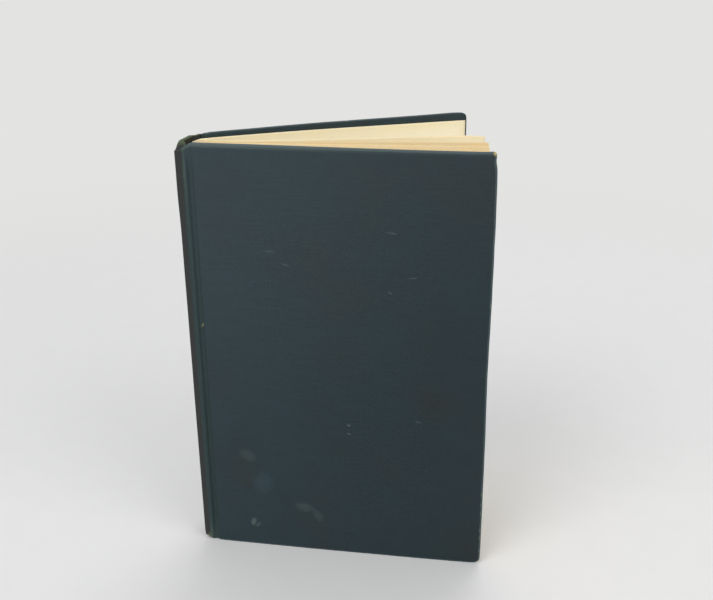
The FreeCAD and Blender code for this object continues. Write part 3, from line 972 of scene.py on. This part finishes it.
@cached
def weave_group():
    """Plain weave: sin(x) * sin(y) humps at the thread pitch, on threads of uneven thickness."""
    tree, t, given, put = new_group(
        "Plain weave", [("Lay", "Vector", None), ("Pitch", "Float", 0.5)], [("Height", "Float")]
    )
    spread = t.vector("SCALE", given["Lay"], scale=t.math("DIVIDE", math.pi, given["Pitch"]))
    x, y, _ = t.separate(spread)
    slub = t.noise(t.vector("MULTIPLY", given["Lay"], (0.12, 1.6, 1.0)), 1.0, 2.0)
    weft = t.noise(t.vector("MULTIPLY", given["Lay"], (1.6, 0.12, 1.0)), 1.0, 2.0)
    humps = t.math("MULTIPLY", t.math("SINE", x), t.math("SINE", y))
    uneven = t.math("ADD", slub, weft)
    t.wire(put["Height"], t.math("MULTIPLY_ADD", humps, 0.22, t.math("MULTIPLY", uneven, 0.5)))
    return tree


@cached
def mottle_group():
    """Soft patches of a given size: noise taken between two limits."""
    numbers = {"Size": 10.0, "Low": 0.4, "High": 0.6, "Detail": 4.0}
    inputs = [("Lay", "Vector", None), *((name, "Float", value) for name, value in numbers.items())]
    tree, t, given, put = new_group("Mottle", inputs, [("Mask", "Float")])
    patches = t.noise(given["Lay"], t.math("DIVIDE", 1.0, given["Size"]), given["Detail"])
    t.wire(put["Mask"], t.range(patches, given["Low"], given["High"]))
    return tree


@cached
def wear_group():
    """Rubbing: a smooth amount, broken up by fine and coarse noise."""
    inputs = [("Lay", "Vector", None), ("Rubbed", "Float", 0.0), ("Ragged", "Float", 0.6)]
    tree, t, given, put = new_group("Rubbing", inputs, [("Mask", "Float")])
    fine = t.noise(given["Lay"], 1.5, 4.0, 0.65)
    coarse = t.noise(given["Lay"], 0.12, 2.0)
    grain = t.math("ADD", t.math("MULTIPLY", fine, 0.6), t.math("MULTIPLY", coarse, 0.7))
    left = t.math("SUBTRACT", given["Rubbed"], t.math("MULTIPLY", grain, given["Ragged"]))
    t.wire(put["Mask"], t.range(left, 0.0, 0.45))
    return tree


@cached
def fleck_group():
    """One mark: an ellipse of given size and turn whose edge is broken by noise."""
    inputs = [
        ("Lay", "Vector", None),
        ("Place", "Vector", None),
        ("Size", "Vector", (1, 1, 1)),
        ("Turn", "Float", 0.0),
    ]
    tree, t, given, put = new_group("Fleck", inputs, [("Mask", "Float")])
    ragged = t.math("SUBTRACT", t.noise(given["Lay"], 0.9, 3.0, 0.6), 0.5)
    away = t.vector("SUBTRACT", given["Lay"], given["Place"])
    turned = t.node("ShaderNodeVectorRotate", rotation_type="Z_AXIS")
    t.wire(turned.inputs["Vector"], away)
    t.wire(turned.inputs["Angle"], given["Turn"])
    scaled = t.vector("DIVIDE", turned.outputs[0], given["Size"])
    reach = t.math("ADD", t.vector("LENGTH", scaled), t.math("MULTIPLY", ragged, 1.3))
    t.wire(put["Mask"], t.range(reach, 1.15, 0.45))
    return tree


@cached
def paper_group():
    """Paper: fibres along and across, soft cloudiness, and sparse brown specks."""
    outputs = [("Fibres", "Float"), ("Clouds", "Float"), ("Specks", "Float")]
    tree, t, given, put = new_group("Paper fibres", [("Lay", "Vector", None)], outputs)
    fibres = t.noise(t.vector("MULTIPLY", given["Lay"], (0.8, 0.8, 2.6)), 2.2, 4.0, 0.7)
    t.wire(put["Fibres"], fibres)
    t.wire(put["Clouds"], t.noise(given["Lay"], 0.05, 3.0))
    t.wire(put["Specks"], t.range(t.noise(given["Lay"], 0.55, 2.0, 0.4), 0.7, 0.76))
    return tree


# Materials


def new_material(name):
    """A material with its Principled shader and a Tree to write the rest of it with."""
    made = bpy.data.materials.new(name)
    made.use_nodes = True
    shader = made.node_tree.nodes["Principled BSDF"]
    return made, Tree(made.node_tree), shader


def rgba(values):
    """A colour with full opacity."""
    return (*values, 1.0)


def book_cloth(name, shade, worn, marks=(), streaks=0.0):
    """Worn book cloth. shade(tree, lay, colour) paints what is particular to one piece."""
    finish = bpy.context.scene.book_finish
    made, t, shader = new_material(name)
    lay = t.attribute("lay", "Vector")
    rubbed = t.attribute("rubbed")
    weave = t.group(weave_group(), Lay=lay, Pitch=0.52)["Height"]
    base = rgba(finish.cloth)
    patches = t.group(mottle_group(), Lay=lay, Size=26.0, Low=0.42, High=0.64, Detail=4.0)["Mask"]
    moved = t.vector("ADD", lay, (71.0, 13.0, 5.0))
    brown = t.group(mottle_group(), Lay=moved, Size=38.0, Low=0.44, High=0.66, Detail=5.0)["Mask"]
    fine = t.noise(lay, 0.55, 5.0, 0.7)
    threads = t.noise(t.vector("MULTIPLY", lay, (0.05, 1.3, 1.0)), 1.0, 3.0, 0.6)
    colour = t.mix(t.math("MULTIPLY", patches, 0.42), base, rgba(finish.cloth_blue))
    colour = t.mix(t.math("MULTIPLY", brown, 0.38), colour, rgba(finish.cloth_brown))
    colour = shade(t, lay, colour)
    level = t.math("ADD", t.math("MULTIPLY_ADD", fine, 0.34, 0.66), t.math("MULTIPLY", weave, 0.26))
    level = t.math("ADD", level, t.math("MULTIPLY", t.math("SUBTRACT", threads, 0.5), streaks))
    colour = t.shaded(colour, level)
    wear = t.group(wear_group(), Lay=lay, Rubbed=rubbed, Ragged=0.62)["Mask"]
    colour = t.mix(t.math("MULTIPLY", wear, 0.62), colour, rgba(worn))
    moved = t.vector("ADD", lay, (9.0, 3.0, 1.0))
    bare = t.group(wear_group(), Lay=moved, Rubbed=t.attribute("bare"), Ragged=0.55)["Mask"]
    colour = t.mix(bare, colour, rgba(finish.bare_board))
    for place, size, turn, strength, tint in marks:
        place, size = (*place, 0.0), (*size, 3.0)
        fleck = t.group(fleck_group(), Lay=lay, Place=place, Size=size, Turn=math.radians(turn))
        colour = t.mix(t.math("MULTIPLY", fleck["Mask"], strength), colour, rgba(linear(*tint)))
    t.wire(shader.inputs["Base Color"], colour)
    rough = t.math("MULTIPLY_ADD", fine, 0.16, 0.6)
    t.wire(shader.inputs["Roughness"], t.math("ADD", rough, t.math("MULTIPLY", wear, 0.12)))
    shader.inputs["Specular IOR Level"].default_value = 0.25
    shallow = t.bump(fine, 0.06 * MM, 0.5)
    t.wire(shader.inputs["Normal"], t.bump(weave, 0.12 * MM, 0.55, shallow))
    return made


def paper_material(name, clean, toned, edge_attribute="toned", amount=0.8):
    """Aged paper, toned towards its edges."""
    made, t, shader = new_material(name)
    lay = t.position()
    paper = t.group(paper_group(), Lay=lay)
    edge = t.attribute(edge_attribute)
    edge = t.math("MULTIPLY", edge, t.math("MULTIPLY_ADD", paper["Clouds"], 0.9, 0.5), clamp=True)
    colour = t.mix(t.math("MULTIPLY", edge, amount), rgba(clean), rgba(toned))
    cloudy = t.math("MULTIPLY_ADD", paper["Clouds"], 0.12, 0.93)
    level = t.math("MULTIPLY", cloudy, t.math("MULTIPLY_ADD", paper["Fibres"], 0.06, 0.97))
    colour = t.shaded(colour, level)
    colour = t.mix(t.math("MULTIPLY", paper["Specks"], 0.12), colour, rgba(linear(176, 132, 78)))
    t.wire(shader.inputs["Base Color"], colour)
    t.wire(shader.inputs["Roughness"], t.math("MULTIPLY_ADD", paper["Fibres"], 0.14, 0.7))
    shader.inputs["Specular IOR Level"].default_value = 0.3
    t.wire(shader.inputs["Normal"], t.bump(paper["Fibres"], 0.03 * MM, 0.5))
    return made, t, shader, colour


def leaf_material():
    """The leaves: tone varies a little from leaf to leaf."""
    finish = bpy.context.scene.book_finish
    made, t, shader, colour = paper_material("pages", finish.leaf, finish.leaf_edge, amount=1.0)
    number = t.attribute("leaf_number")
    each = t.noise(t.combine(number, 0.0, 0.0), 0.9, 3.0, 0.8)
    group = t.noise(t.combine(number, 4.0, 0.0), 0.09, 2.0)
    level = t.math("ADD", t.math("MULTIPLY", each, 0.42), t.math("MULTIPLY", group, 0.3))
    level = t.math("ADD", level, 0.63)
    colour = t.shaded(colour, level)
    t.wire(shader.inputs["Base Color"], colour)
    return made


def board_material(name, shade):
    """Grey-brown pressed board with flecks of fibre."""
    made, t, shader = new_material(name)
    lay = t.position()
    fibres = t.noise(t.vector("MULTIPLY", lay, (0.5, 0.5, 1.8)), 1.6, 4.0, 0.7)
    flecks = t.group(mottle_group(), Lay=lay, Size=0.9, Low=0.6, High=0.72, Detail=2.0)["Mask"]
    level = t.math("MULTIPLY_ADD", fibres, 0.4, 0.8)
    colour = t.shaded(rgba(shade), level)
    colour = t.mix(t.math("MULTIPLY", flecks, 0.35), colour, rgba(linear(92, 74, 52)))
    t.wire(shader.inputs["Base Color"], colour)
    t.wire(shader.inputs["Roughness"], t.math("MULTIPLY_ADD", fibres, 0.1, 0.8))
    t.wire(shader.inputs["Normal"], t.bump(fibres, 0.05 * MM, 0.6))
    return made


def gauze_material(name, shade, glue):
    """Open gauze over glue: square threads at 1.1 mm, darker between them."""
    made, t, shader = new_material(name)
    lay = t.position()
    x, y, z = t.separate(lay)
    pitch = math.pi / 1.1
    up = t.math("ABSOLUTE", t.math("SINE", t.math("MULTIPLY", z, pitch)))
    over = t.math("ABSOLUTE", t.math("SINE", t.math("MULTIPLY", t.math("ADD", x, y), pitch)))
    thread = t.range(t.math("MAXIMUM", up, over), 0.72, 0.95)
    fuzz = t.noise(lay, 2.0, 3.0, 0.6)
    cover = t.math("MULTIPLY", thread, t.math("MULTIPLY_ADD", fuzz, 0.5, 0.6), clamp=True)
    colour = t.mix(cover, rgba(glue), rgba(shade))
    t.wire(shader.inputs["Base Color"], colour)
    t.wire(shader.inputs["Roughness"], t.math("MULTIPLY_ADD", fuzz, 0.15, 0.72))
    t.wire(shader.inputs["Normal"], t.bump(thread, 0.15 * MM, 0.7))
    return made


def wrap_in(piece, material):
    """Gives a piece its material and the slot that it takes its finish from."""
    piece.data.materials.clear()
    piece.data.materials.append(material)


# Marks of use on the front cover: (place across and up, mm), (half sizes, mm), turn, strength, colour
PALE = (118, 134, 130)
GREEN = (104, 124, 96)
STRAW = (150, 140, 92)
BLUE = (66, 92, 108)


def front_marks():
    """The marks on the front cover, and a row of small ones along its fore edge."""
    heights = (40.7, 34.9, 30.0, 19.9, 15.7, 8.0, 140.4)
    fore = [((134.2, z), (0.45, 1.3), 0, 0.5, GREEN) for z in heights]
    return [
        ((25.0, 37.6), (6.0, 7.0), 20, 0.16, BLUE),
        ((46.0, 25.2), (5.5, 2.8), 12, 0.1, PALE),
        ((53.0, 20.8), (2.4, 4.6), -30, 0.08, PALE),
        ((19.1, 13.6), (1.6, 2.6), 20, 0.3, PALE),
        ((21.5, 12.0), (1.0, 2.0), 40, 0.16, PALE),
        ((17.9, 52.8), (5.0, 3.4), 30, 0.08, PALE),
        ((69.4, 74.2), (1.3, 0.6), 12, 0.3, PALE),
        ((69.4, 69.6), (1.1, 0.5), 8, 0.24, PALE),
        ((89.7, 172.8), (3.0, 0.5), 6, 0.16, PALE),
        ((89.2, 144.3), (1.4, 0.5), 20, 0.16, PALE),
        ((99.6, 151.9), (2.4, 0.4), -8, 0.14, PALE),
        ((40.8, 155.5), (2.2, 0.5), 14, 0.14, PALE),
        ((33.7, 161.7), (3.0, 0.5), 4, 0.14, PALE),
        ((103.2, 78.5), (1.8, 0.5), 10, 0.14, PALE),
        ((-1.8, 122.3), (0.5, 1.6), 32, 0.65, STRAW),
        ((134.6, 171.0), (0.5, 4.0), 0, 0.3, PALE),
        *fore,
    ]


def shade_front(t, lay, colour):
    """The front cover: green in the joint, pale along the head edge, paler towards the head partly as
    painted light, and darker towards the fore edge as painted shade.
    """
    finish = bpy.context.scene.book_finish
    x, z, _ = t.separate(lay)
    drift = t.math("MULTIPLY", t.math("SUBTRACT", t.noise(lay, 0.05, 2.0), 0.5), 3.0)
    joint = t.range(t.math("ADD", x, t.math("MULTIPLY", drift, 0.2)), 0.8, -0.6)
    colour = t.mix(joint, colour, rgba(finish.cloth_green))
    # paler towards the head and the joint side: partly the cloth's own fading, partly painted light
    # standing in for light falling from the upper left
    fading_and_painted_light = t.range(t.math("ADD", z, t.math("MULTIPLY", x, -0.35)), 40.0, 200.0)
    colour = t.mix(t.math("MULTIPLY", fading_and_painted_light, 0.3), colour, rgba(linear(69, 84, 89)))
    height = (HEAD - TAIL) / MM
    stripe = t.range(t.math("ADD", z, t.math("MULTIPLY", drift, 0.1)), height - 1.9, height - 1.3)
    strength = t.range(x, 110.0, 10.0, 0.15, 0.5)
    colour = t.mix(t.math("MULTIPLY", stripe, strength), colour, rgba(linear(92, 104, 102)))
    # painted shade: the colour is scaled from 0.92 at the joint to 0.7 at the fore edge, standing in
    # for light falling from the left
    painted_shade_to_fore_edge = t.range(x, -10.0, 145.0, 0.92, 0.7)
    return t.shaded(colour, painted_shade_to_fore_edge)


def shade_back(t, lay, colour):
    """The back cover: green in the joint."""
    finish = bpy.context.scene.book_finish
    x = t.separate(lay)[0]
    return t.mix(t.range(x, 0.8, -0.6), colour, rgba(finish.cloth_green))


def shade_spine(t, lay, colour):
    """The spine: browned by light, green where it dips into the joints, and near black deep inside its
    hollow as painted shade.
    """
    finish = bpy.context.scene.book_finish
    x, _, depth = t.separate(lay)
    face = t.range(x, 0.6, 1.3)
    colour = t.mix(t.math("SUBTRACT", 1.0, face), colour, rgba(finish.cloth_green))
    colour = t.mix(t.math("MULTIPLY", face, 0.85), colour, rgba(finish.cloth_brown))
    # painted shade: cloth more than 0.9 mm deep, turned in inside the spine's hollow, is darkened to
    # near black where shade falls
    return t.mix(t.range(depth, 0.9, 1.8), colour, rgba(linear(26, 28, 28)))


# Operators: one for each piece or group of like pieces


class BOOK_OT_front_cloth(bpy.types.Operator):
    """Wrap the front cover in worn book cloth, from the rib beside the spine."""

    bl_idname = "book.front_cloth"
    bl_label = "Front cover cloth"

    def execute(self, context):
        sizes = context.scene.case_sizes
        x, y, z, rubbed, lay = cover_surface(front_start(), sizes.front_warp)
        rubbed = np.maximum(rubbed, rib_rubbed(z) * bump(x, RIB[0], 0.8 * MM))
        width = sizes.cover_width
        bare = bump(x, width, 2.0 * MM) * bump(z, HEAD, 1.7 * MM) * 1.2
        bare = np.maximum(bare, 0.9 * bump(x, width, 1.6 * MM) * bump(z, TAIL, 1.2 * MM))
        worn = worn_front(x, y, z)
        carried = {"rubbed": rubbed, "lay": lay, "bare": bare}
        piece = sheet_piece("front_case_cloth", worn, sizes.cloth, **carried)
        merge_doubles(piece.data)
        pale = context.scene.book_finish.worn_cloth
        wrap_in(piece, book_cloth("front cloth", shade_front, pale, front_marks(), 0.35))
        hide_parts("front_cover_cloth")
        blend_front(piece)
        return {"FINISHED"}


class BOOK_OT_back_cloth(bpy.types.Operator):
    """Wrap the back cover in book cloth, from the shoulder behind the spine."""

    bl_idname = "book.back_cloth"
    bl_label = "Back cover cloth"

    def execute(self, context):
        sizes = context.scene.case_sizes
        x, y, z, rubbed, lay = cover_surface(back_start(), sizes.back_warp)
        bare = bump(x, sizes.cover_width, 1.6 * MM) * bump(z, HEAD, 1.4 * MM) * 0.7
        x, y, z = worn_back(x, y, z)
        carried = {"rubbed": rubbed * 0.7, "lay": lay, "bare": bare}
        piece = sheet_piece("back_case_cloth", (*opened(x, y), z), sizes.cloth, True, **carried)
        merge_doubles(piece.data)
        nick = [((68.8, 211.6), (0.8, 2.8), 0, 0.8, (150, 156, 150))]
        pale = context.scene.book_finish.worn_cloth
        wrap_in(piece, book_cloth("back cloth", shade_back, pale, nick, 0.2))
        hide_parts("back_cover_cloth")
        blend_back(piece, (BLEND_START, SHOULDER_DEPTH), (LIP, 0.0))
        return {"FINISHED"}


class BOOK_OT_spine_cloth(bpy.types.Operator):
    """Wrap the spine in browned cloth with a worn head and a rounded tail."""

    bl_idname = "book.spine_cloth"
    bl_label = "Spine cloth"

    def execute(self, context):
        sizes = context.scene.case_sizes
        x, y, z, rubbed, lay = spine_surface()
        bare = 0.2 * bump(x, -6.6 * MM, 1.0 * MM) * bump(y, 1.2 * MM, 1.6 * MM)
        bare = bare * bump(z, HEAD - 3 * MM, 1.6 * MM)
        bare = np.maximum(bare, 0.6 * bump(z, TAIL, 1.6 * MM) * bump(x, -5.6 * MM, 1.2 * MM))
        carried = {"rubbed": rubbed, "lay": lay, "bare": bare}
        piece = sheet_piece("spine_case_cloth", (x, y, z), sizes.cloth, True, **carried)
        green = context.scene.book_finish.worn_spine
        wrap_in(piece, book_cloth("spine cloth", shade_spine, green, (), 0.3))
        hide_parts("spine_cloth")
        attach(piece, "block_and_spine")
        return {"FINISHED"}


class BOOK_OT_leaves(bpy.types.Operator):
    """Fold and gather the leaves in sections, fanned towards the back."""

    bl_idname = "book.leaves"
    bl_label = "Leaves"

    def execute(self, context):
        piece = link(leaf_mesh(), "folded_leaves")
        wrap_in(piece, leaf_material())
        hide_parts("text_block")
        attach(piece, "block_and_spine")
        return {"FINISHED"}


class BOOK_OT_endpapers(bpy.types.Operator):
    """Lay the pasted halves of the endpapers and hang the free halves."""

    bl_idname = "book.endpapers"
    bl_label = "Endpapers"

    def execute(self, context):
        sizes, finish = context.scene.case_sizes, context.scene.book_finish
        paper = paper_material("endpaper", finish.endpaper, finish.endpaper_toned, amount=0.85)[0]
        thin = papers().endpaper
        face = sizes.board + thin
        cloth_ends = 15 * MM
        fore = sizes.cover_width - 1.3 * MM
        margins = (2.6 * MM, 2.4 * MM, 2.4 * MM)
        *surface, toned = inner_sheet(
            sizes.front_warp, FOLD, fore, margins, face, cloth_ends, FRONT_LEAN
        )
        front = sheet_piece("front_pasted_endpaper", surface, thin, True, toned=toned)
        wrap_in(front, paper)
        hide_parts("front_pastedown")
        blend_front(front)

        fore = sizes.cover_width - 1.0 * MM
        margins = (2.6 * MM, 2.2 * MM, 3.8 * MM)
        *surface, toned = inner_sheet(
            sizes.back_warp, -5.8 * MM, fore, margins, face, cloth_ends, BACK_LEAN
        )
        x, y, z = worn_back(*surface)
        back = sheet_piece("back_pasted_endpaper", (*opened(x, y), z), thin, toned=toned)
        wrap_in(back, paper)
        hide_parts("back_pastedown")
        blend_back(back, (BLEND_START, face), (LIP, face))

        across = np.linspace(0, 1, 90)
        lx, ly = leaf_lines(np.zeros(1), across)
        path = np.stack([lx, ly - thin], -1)
        *surface, toned = free_leaf(path, 41)
        flat = sheet_piece("front_free_endpaper", surface, thin * 0.8, offset=0.0, toned=toned)
        wrap_in(flat, paper)
        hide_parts("front_flyleaf")
        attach(flat, "block_and_spine")

        path = back_leaf_path()
        x, y, z, toned = free_leaf(path, 42)
        free = sheet_piece("back_free_endpaper", (x, y, z), thin, offset=0.0, toned=toned)
        wrap_in(free, paper)
        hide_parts("back_flyleaf")
        chord = np.array([x[-1, 0] - x[0, 0], y[-1, 0] - y[0, 0]])
        normal = np.array([-chord[1], chord[0]]) / np.linalg.norm(chord)
        root = np.array([x[0, 0], y[0, 0]])
        start, end = root - 34 * MM * normal, root + 66 * MM * normal
        low = to_row(start[0], start[1], 0.0)
        high = to_row(end[0], end[1], 0.0)
        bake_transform(free)
        return {"FINISHED"}


class BOOK_OT_gauze(bpy.types.Operator):
    """Glue the gauze's two flaps to the boards, under the endpapers."""

    bl_idname = "book.gauze"
    bl_label = "Gauze flaps"

    def execute(self, context):
        sizes, finish = context.scene.case_sizes, context.scene.book_finish
        gauze = gauze_material("gauze", finish.gauze, finish.lining)
        depth = sizes.board - sizes.cloth + 0.25 * MM
        inset = 22 * MM
        sides = (("front", sizes.front_warp, FRONT_LEAN), ("back", sizes.back_warp, BACK_LEAN))
        for side, warp, lean in sides:
            margins = (inset, inset, inset)
            x, y, z, _ = inner_sheet(warp, FOLD, 25 * MM, margins, depth, 60 * MM, lean)
            at_back = side == "back"
            if at_back:
                x, y = opened(x, y)
            piece = sheet_piece(side + "_gauze_flap", (x, y, z), 0.2 * MM, not at_back)
            wrap_in(piece, gauze)
            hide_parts(side + "_mull_flange")
            if at_back:
                blend_back(piece, (BLEND_START, depth), (LIP, depth))
            else:
                blend_front(piece)
        wrap_in(frame["nodes"]["spine_mull"], gauze)
        return {"FINISHED"}


class BOOK_OT_boards(bpy.types.Operator):
    """Finish the boards, the stiff strip and the spine lining inside the case."""

    bl_idname = "book.boards"
    bl_label = "Boards and linings"

    def execute(self, context):
        finish = context.scene.book_finish
        board = board_material("pressed board", finish.card)
        for side, warp in (("front", cases().front_warp), ("back", cases().back_warp)):
            x, y, z = board_slab(warp)
            at_back = side == "back"
            if at_back:
                x, y, z = worn_back(x, y, z)
                x, y = swung(x, BOOK_THICKNESS - y, cases().back_ajar)
            else:
                x, y, z = worn_front(x, y, z)
            quads = grid_faces(*x.T.shape, closed=True)
            mesh = mesh_from(to_row(x.T, y.T, z.T), quads, not at_back)
            merge_doubles(mesh)
            mesh.set_sharp_from_angle(angle=math.radians(40))
            piece = link(mesh, side + "_case_board")
            wrap_in(piece, board)
            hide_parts(side + "_board")
            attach(piece, side + "_cover")
        strip = sheet_piece("spine_stiff_strip", spine_strip(), 0.5 * MM, True)
        wrap_in(strip, board_material("spine card", finish.card))
        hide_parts("spine_inlay")
        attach(strip, "block_and_spine")
        lining = board_material("lining paper", finish.lining)
        wrap_in(frame["nodes"]["spine_lining"], lining)
        return {"FINISHED"}


class BOOK_OT_stage(bpy.types.Operator):
    """Add the pale floor, the soft lamps and the camera."""

    bl_idname = "book.stage"
    bl_label = "Floor, lamps and camera"

    def execute(self, context):
        add_floor()
        add_lamps()
        add_camera()
        context.scene.view_settings.view_transform = "Standard"
        return {"FINISHED"}


# Stage

# Camera, fitted to the book's edges: place in plan (mm), heading, tilt, roll and lens
CAMERA_PLACE = (139.99, -403.84, 306.08)
CAMERA_HEADING = 9.295
CAMERA_TILT = -22.106
CAMERA_ROLL = -0.503
LENS = 48.64
BACKDROP = (0.77, 0.77, 0.755, 1.0)


def seen_rays(t):
    """1 for rays by which the backdrop is seen, straight, mirrored or through glass."""
    rays = t.node("ShaderNodeLightPath").outputs
    mirrored = t.math("MAXIMUM", rays["Is Camera Ray"], rays["Is Glossy Ray"])
    return t.math("MAXIMUM", mirrored, rays["Is Transmission Ray"])


def add_floor():
    """A large disc that keeps shadows near the book and fades to the backdrop's tone."""
    finish = bpy.context.scene.book_finish
    sides, level = 96, -0.02 * MM
    ring = np.linspace(0, 2 * math.pi, sides + 1)[:-1]
    radius = np.array([0.02, 0.3, 0.8, 2.0])
    x, y = np.outer(radius, np.cos(ring)), np.outer(radius, np.sin(ring))
    points = np.stack([x, y, np.full(x.shape, level)], -1).reshape(-1, 3)
    quads = []
    for row in range(len(radius) - 1):
        here = np.arange(sides) + sides * row
        there = here + sides
        quads.append(np.stack([here, there, np.roll(there, -1), np.roll(here, -1)], -1))
    mesh = bpy.data.meshes.new("floor")
    mesh.from_pydata(points.tolist(), [], np.concatenate(quads).tolist() + [list(range(sides))])
    floor = link(mesh, "floor")
    made = bpy.data.materials.new("pale floor")
    made.use_nodes = True
    t = Tree(made.node_tree)
    shader = made.node_tree.nodes["Principled BSDF"]
    grain = t.noise(t.position(), 0.06, 4.0)
    level = t.math("MULTIPLY_ADD", grain, 0.04, 0.98)
    t.wire(shader.inputs["Base Color"], t.shaded(rgba(finish.floor), level))
    shader.inputs["Roughness"].default_value = 0.55
    far = t.range(t.vector("LENGTH", t.position()), 330.0, 800.0)
    seen = seen_rays(t)
    glow = t.node("ShaderNodeEmission")
    glow.inputs["Color"].default_value = BACKDROP
    mixed = t.node("ShaderNodeMixShader")
    t.wire(mixed.inputs[0], t.math("MULTIPLY", far, seen))
    t.wire(mixed.inputs[1], shader.outputs[0])
    t.wire(mixed.inputs[2], glow.outputs[0])
    t.wire(made.node_tree.nodes["Material Output"].inputs["Surface"], mixed.outputs[0])
    mesh.materials.append(made)


def add_lamps():
    """A soft even world, a large lamp above on the left and a weaker one on the right."""
    world = bpy.data.worlds.new("studio")
    bpy.context.scene.world = world
    world.use_nodes = True
    t = Tree(world.node_tree)
    background = world.node_tree.nodes["Background"]
    seen = seen_rays(t)
    t.wire(background.inputs["Color"], t.mix(seen, (0.95, 0.97, 1.0, 1.0), BACKDROP))
    t.wire(background.inputs["Strength"], t.math("ADD", t.math("MULTIPLY", seen, 0.45), 0.55))
    centre = to_row(np.array(60 * MM), np.array(10 * MM), 100 * MM)
    for name, offset, size, power in (
        ("left lamp", (-0.65, -1.1, 1.3), 1.2, 13.5),
        ("right lamp", (1.1, -0.7, 1.0), 1.2, 6.0),
        ("back lamp", (0.2, 1.2, 1.4), 1.4, 8.0),
    ):
        light = bpy.data.lights.new(name, "AREA")
        light.shape = "DISK"
        light.size = size
        light.energy = power
        lamp = bpy.data.objects.new(name, light)
        bpy.context.scene.collection.objects.link(lamp)
        place = centre + np.array(offset)
        lamp.location = place
        lamp.rotation_euler = aim(-np.array(offset))


def aim(direction):
    """Rotation that points a lamp's -Z along a direction."""
    return Vector(direction).to_track_quat("-Z", "Y").to_euler()


def add_camera():
    """The camera at the photograph's place, from its heading, tilt and roll."""
    yaw, tilt, roll = (math.radians(v) for v in (CAMERA_HEADING, CAMERA_TILT, CAMERA_ROLL))
    right = np.array([math.cos(yaw), math.sin(yaw), 0.0])
    ahead = np.array([-math.sin(yaw) * math.cos(tilt), math.cos(yaw) * math.cos(tilt), math.sin(tilt)])
    up = np.cross(right, ahead)
    across = math.cos(roll) * right + math.sin(roll) * up
    upward = -math.sin(roll) * right + math.cos(roll) * up
    lens = bpy.data.cameras.new("camera")
    lens.lens = LENS
    lens.sensor_width = 36.0
    lens.sensor_fit = "HORIZONTAL"
    lens.clip_start = 0.01
    camera = bpy.data.objects.new("camera", lens)
    bpy.context.scene.collection.objects.link(camera)
    camera.matrix_world = Matrix(np.array([across, upward, -ahead]).T.tolist()).to_4x4()
    x, y, z = (v * MM for v in CAMERA_PLACE)
    camera.location = to_row(np.array(x), np.array(y), z)
    bpy.context.scene.camera = camera


class BOOK_PT_panel(bpy.types.Panel):
    """Sizes, colours and steps of the book."""

    bl_label = "Cloth-bound book"
    bl_idname = "BOOK_PT_panel"
    bl_space_type = "VIEW_3D"
    bl_region_type = "UI"
    bl_category = "Book"

    def draw(self, context):
        scene = context.scene
        for group in (scene.case_sizes, scene.leaf_sizes, scene.book_finish):
            box = self.layout.box()
            for name in group.__annotations__:
                box.prop(group, name)
        for step in STEPS:
            self.layout.operator(step.bl_idname)


STEPS = (
    BOOK_OT_stage,
    BOOK_OT_boards,
    BOOK_OT_gauze,
    BOOK_OT_leaves,
    BOOK_OT_endpapers,
    BOOK_OT_front_cloth,
    BOOK_OT_back_cloth,
    BOOK_OT_spine_cloth,
)
GROUPS = {"case_sizes": CaseSizes, "leaf_sizes": LeafSizes, "book_finish": Finish}


def register():
    """Adds the property groups, operators and panel."""
    for cls in (*GROUPS.values(), *STEPS, BOOK_PT_panel):
        bpy.utils.register_class(cls)
    for name, group in GROUPS.items():
        setattr(bpy.types.Scene, name, PointerProperty(type=group))


def unregister():
    """Takes them away again."""
    for name in GROUPS:
        delattr(bpy.types.Scene, name)
    for cls in (BOOK_PT_panel, *reversed(STEPS), *reversed(GROUPS.values())):
        bpy.utils.unregister_class(cls)


def main():
    """Registers the classes and runs every step."""
    register()
    for step in STEPS:
        family, name = step.bl_idname.split(".")
        getattr(getattr(bpy.ops, family), name)()


if __name__ == "__main__":
    main()
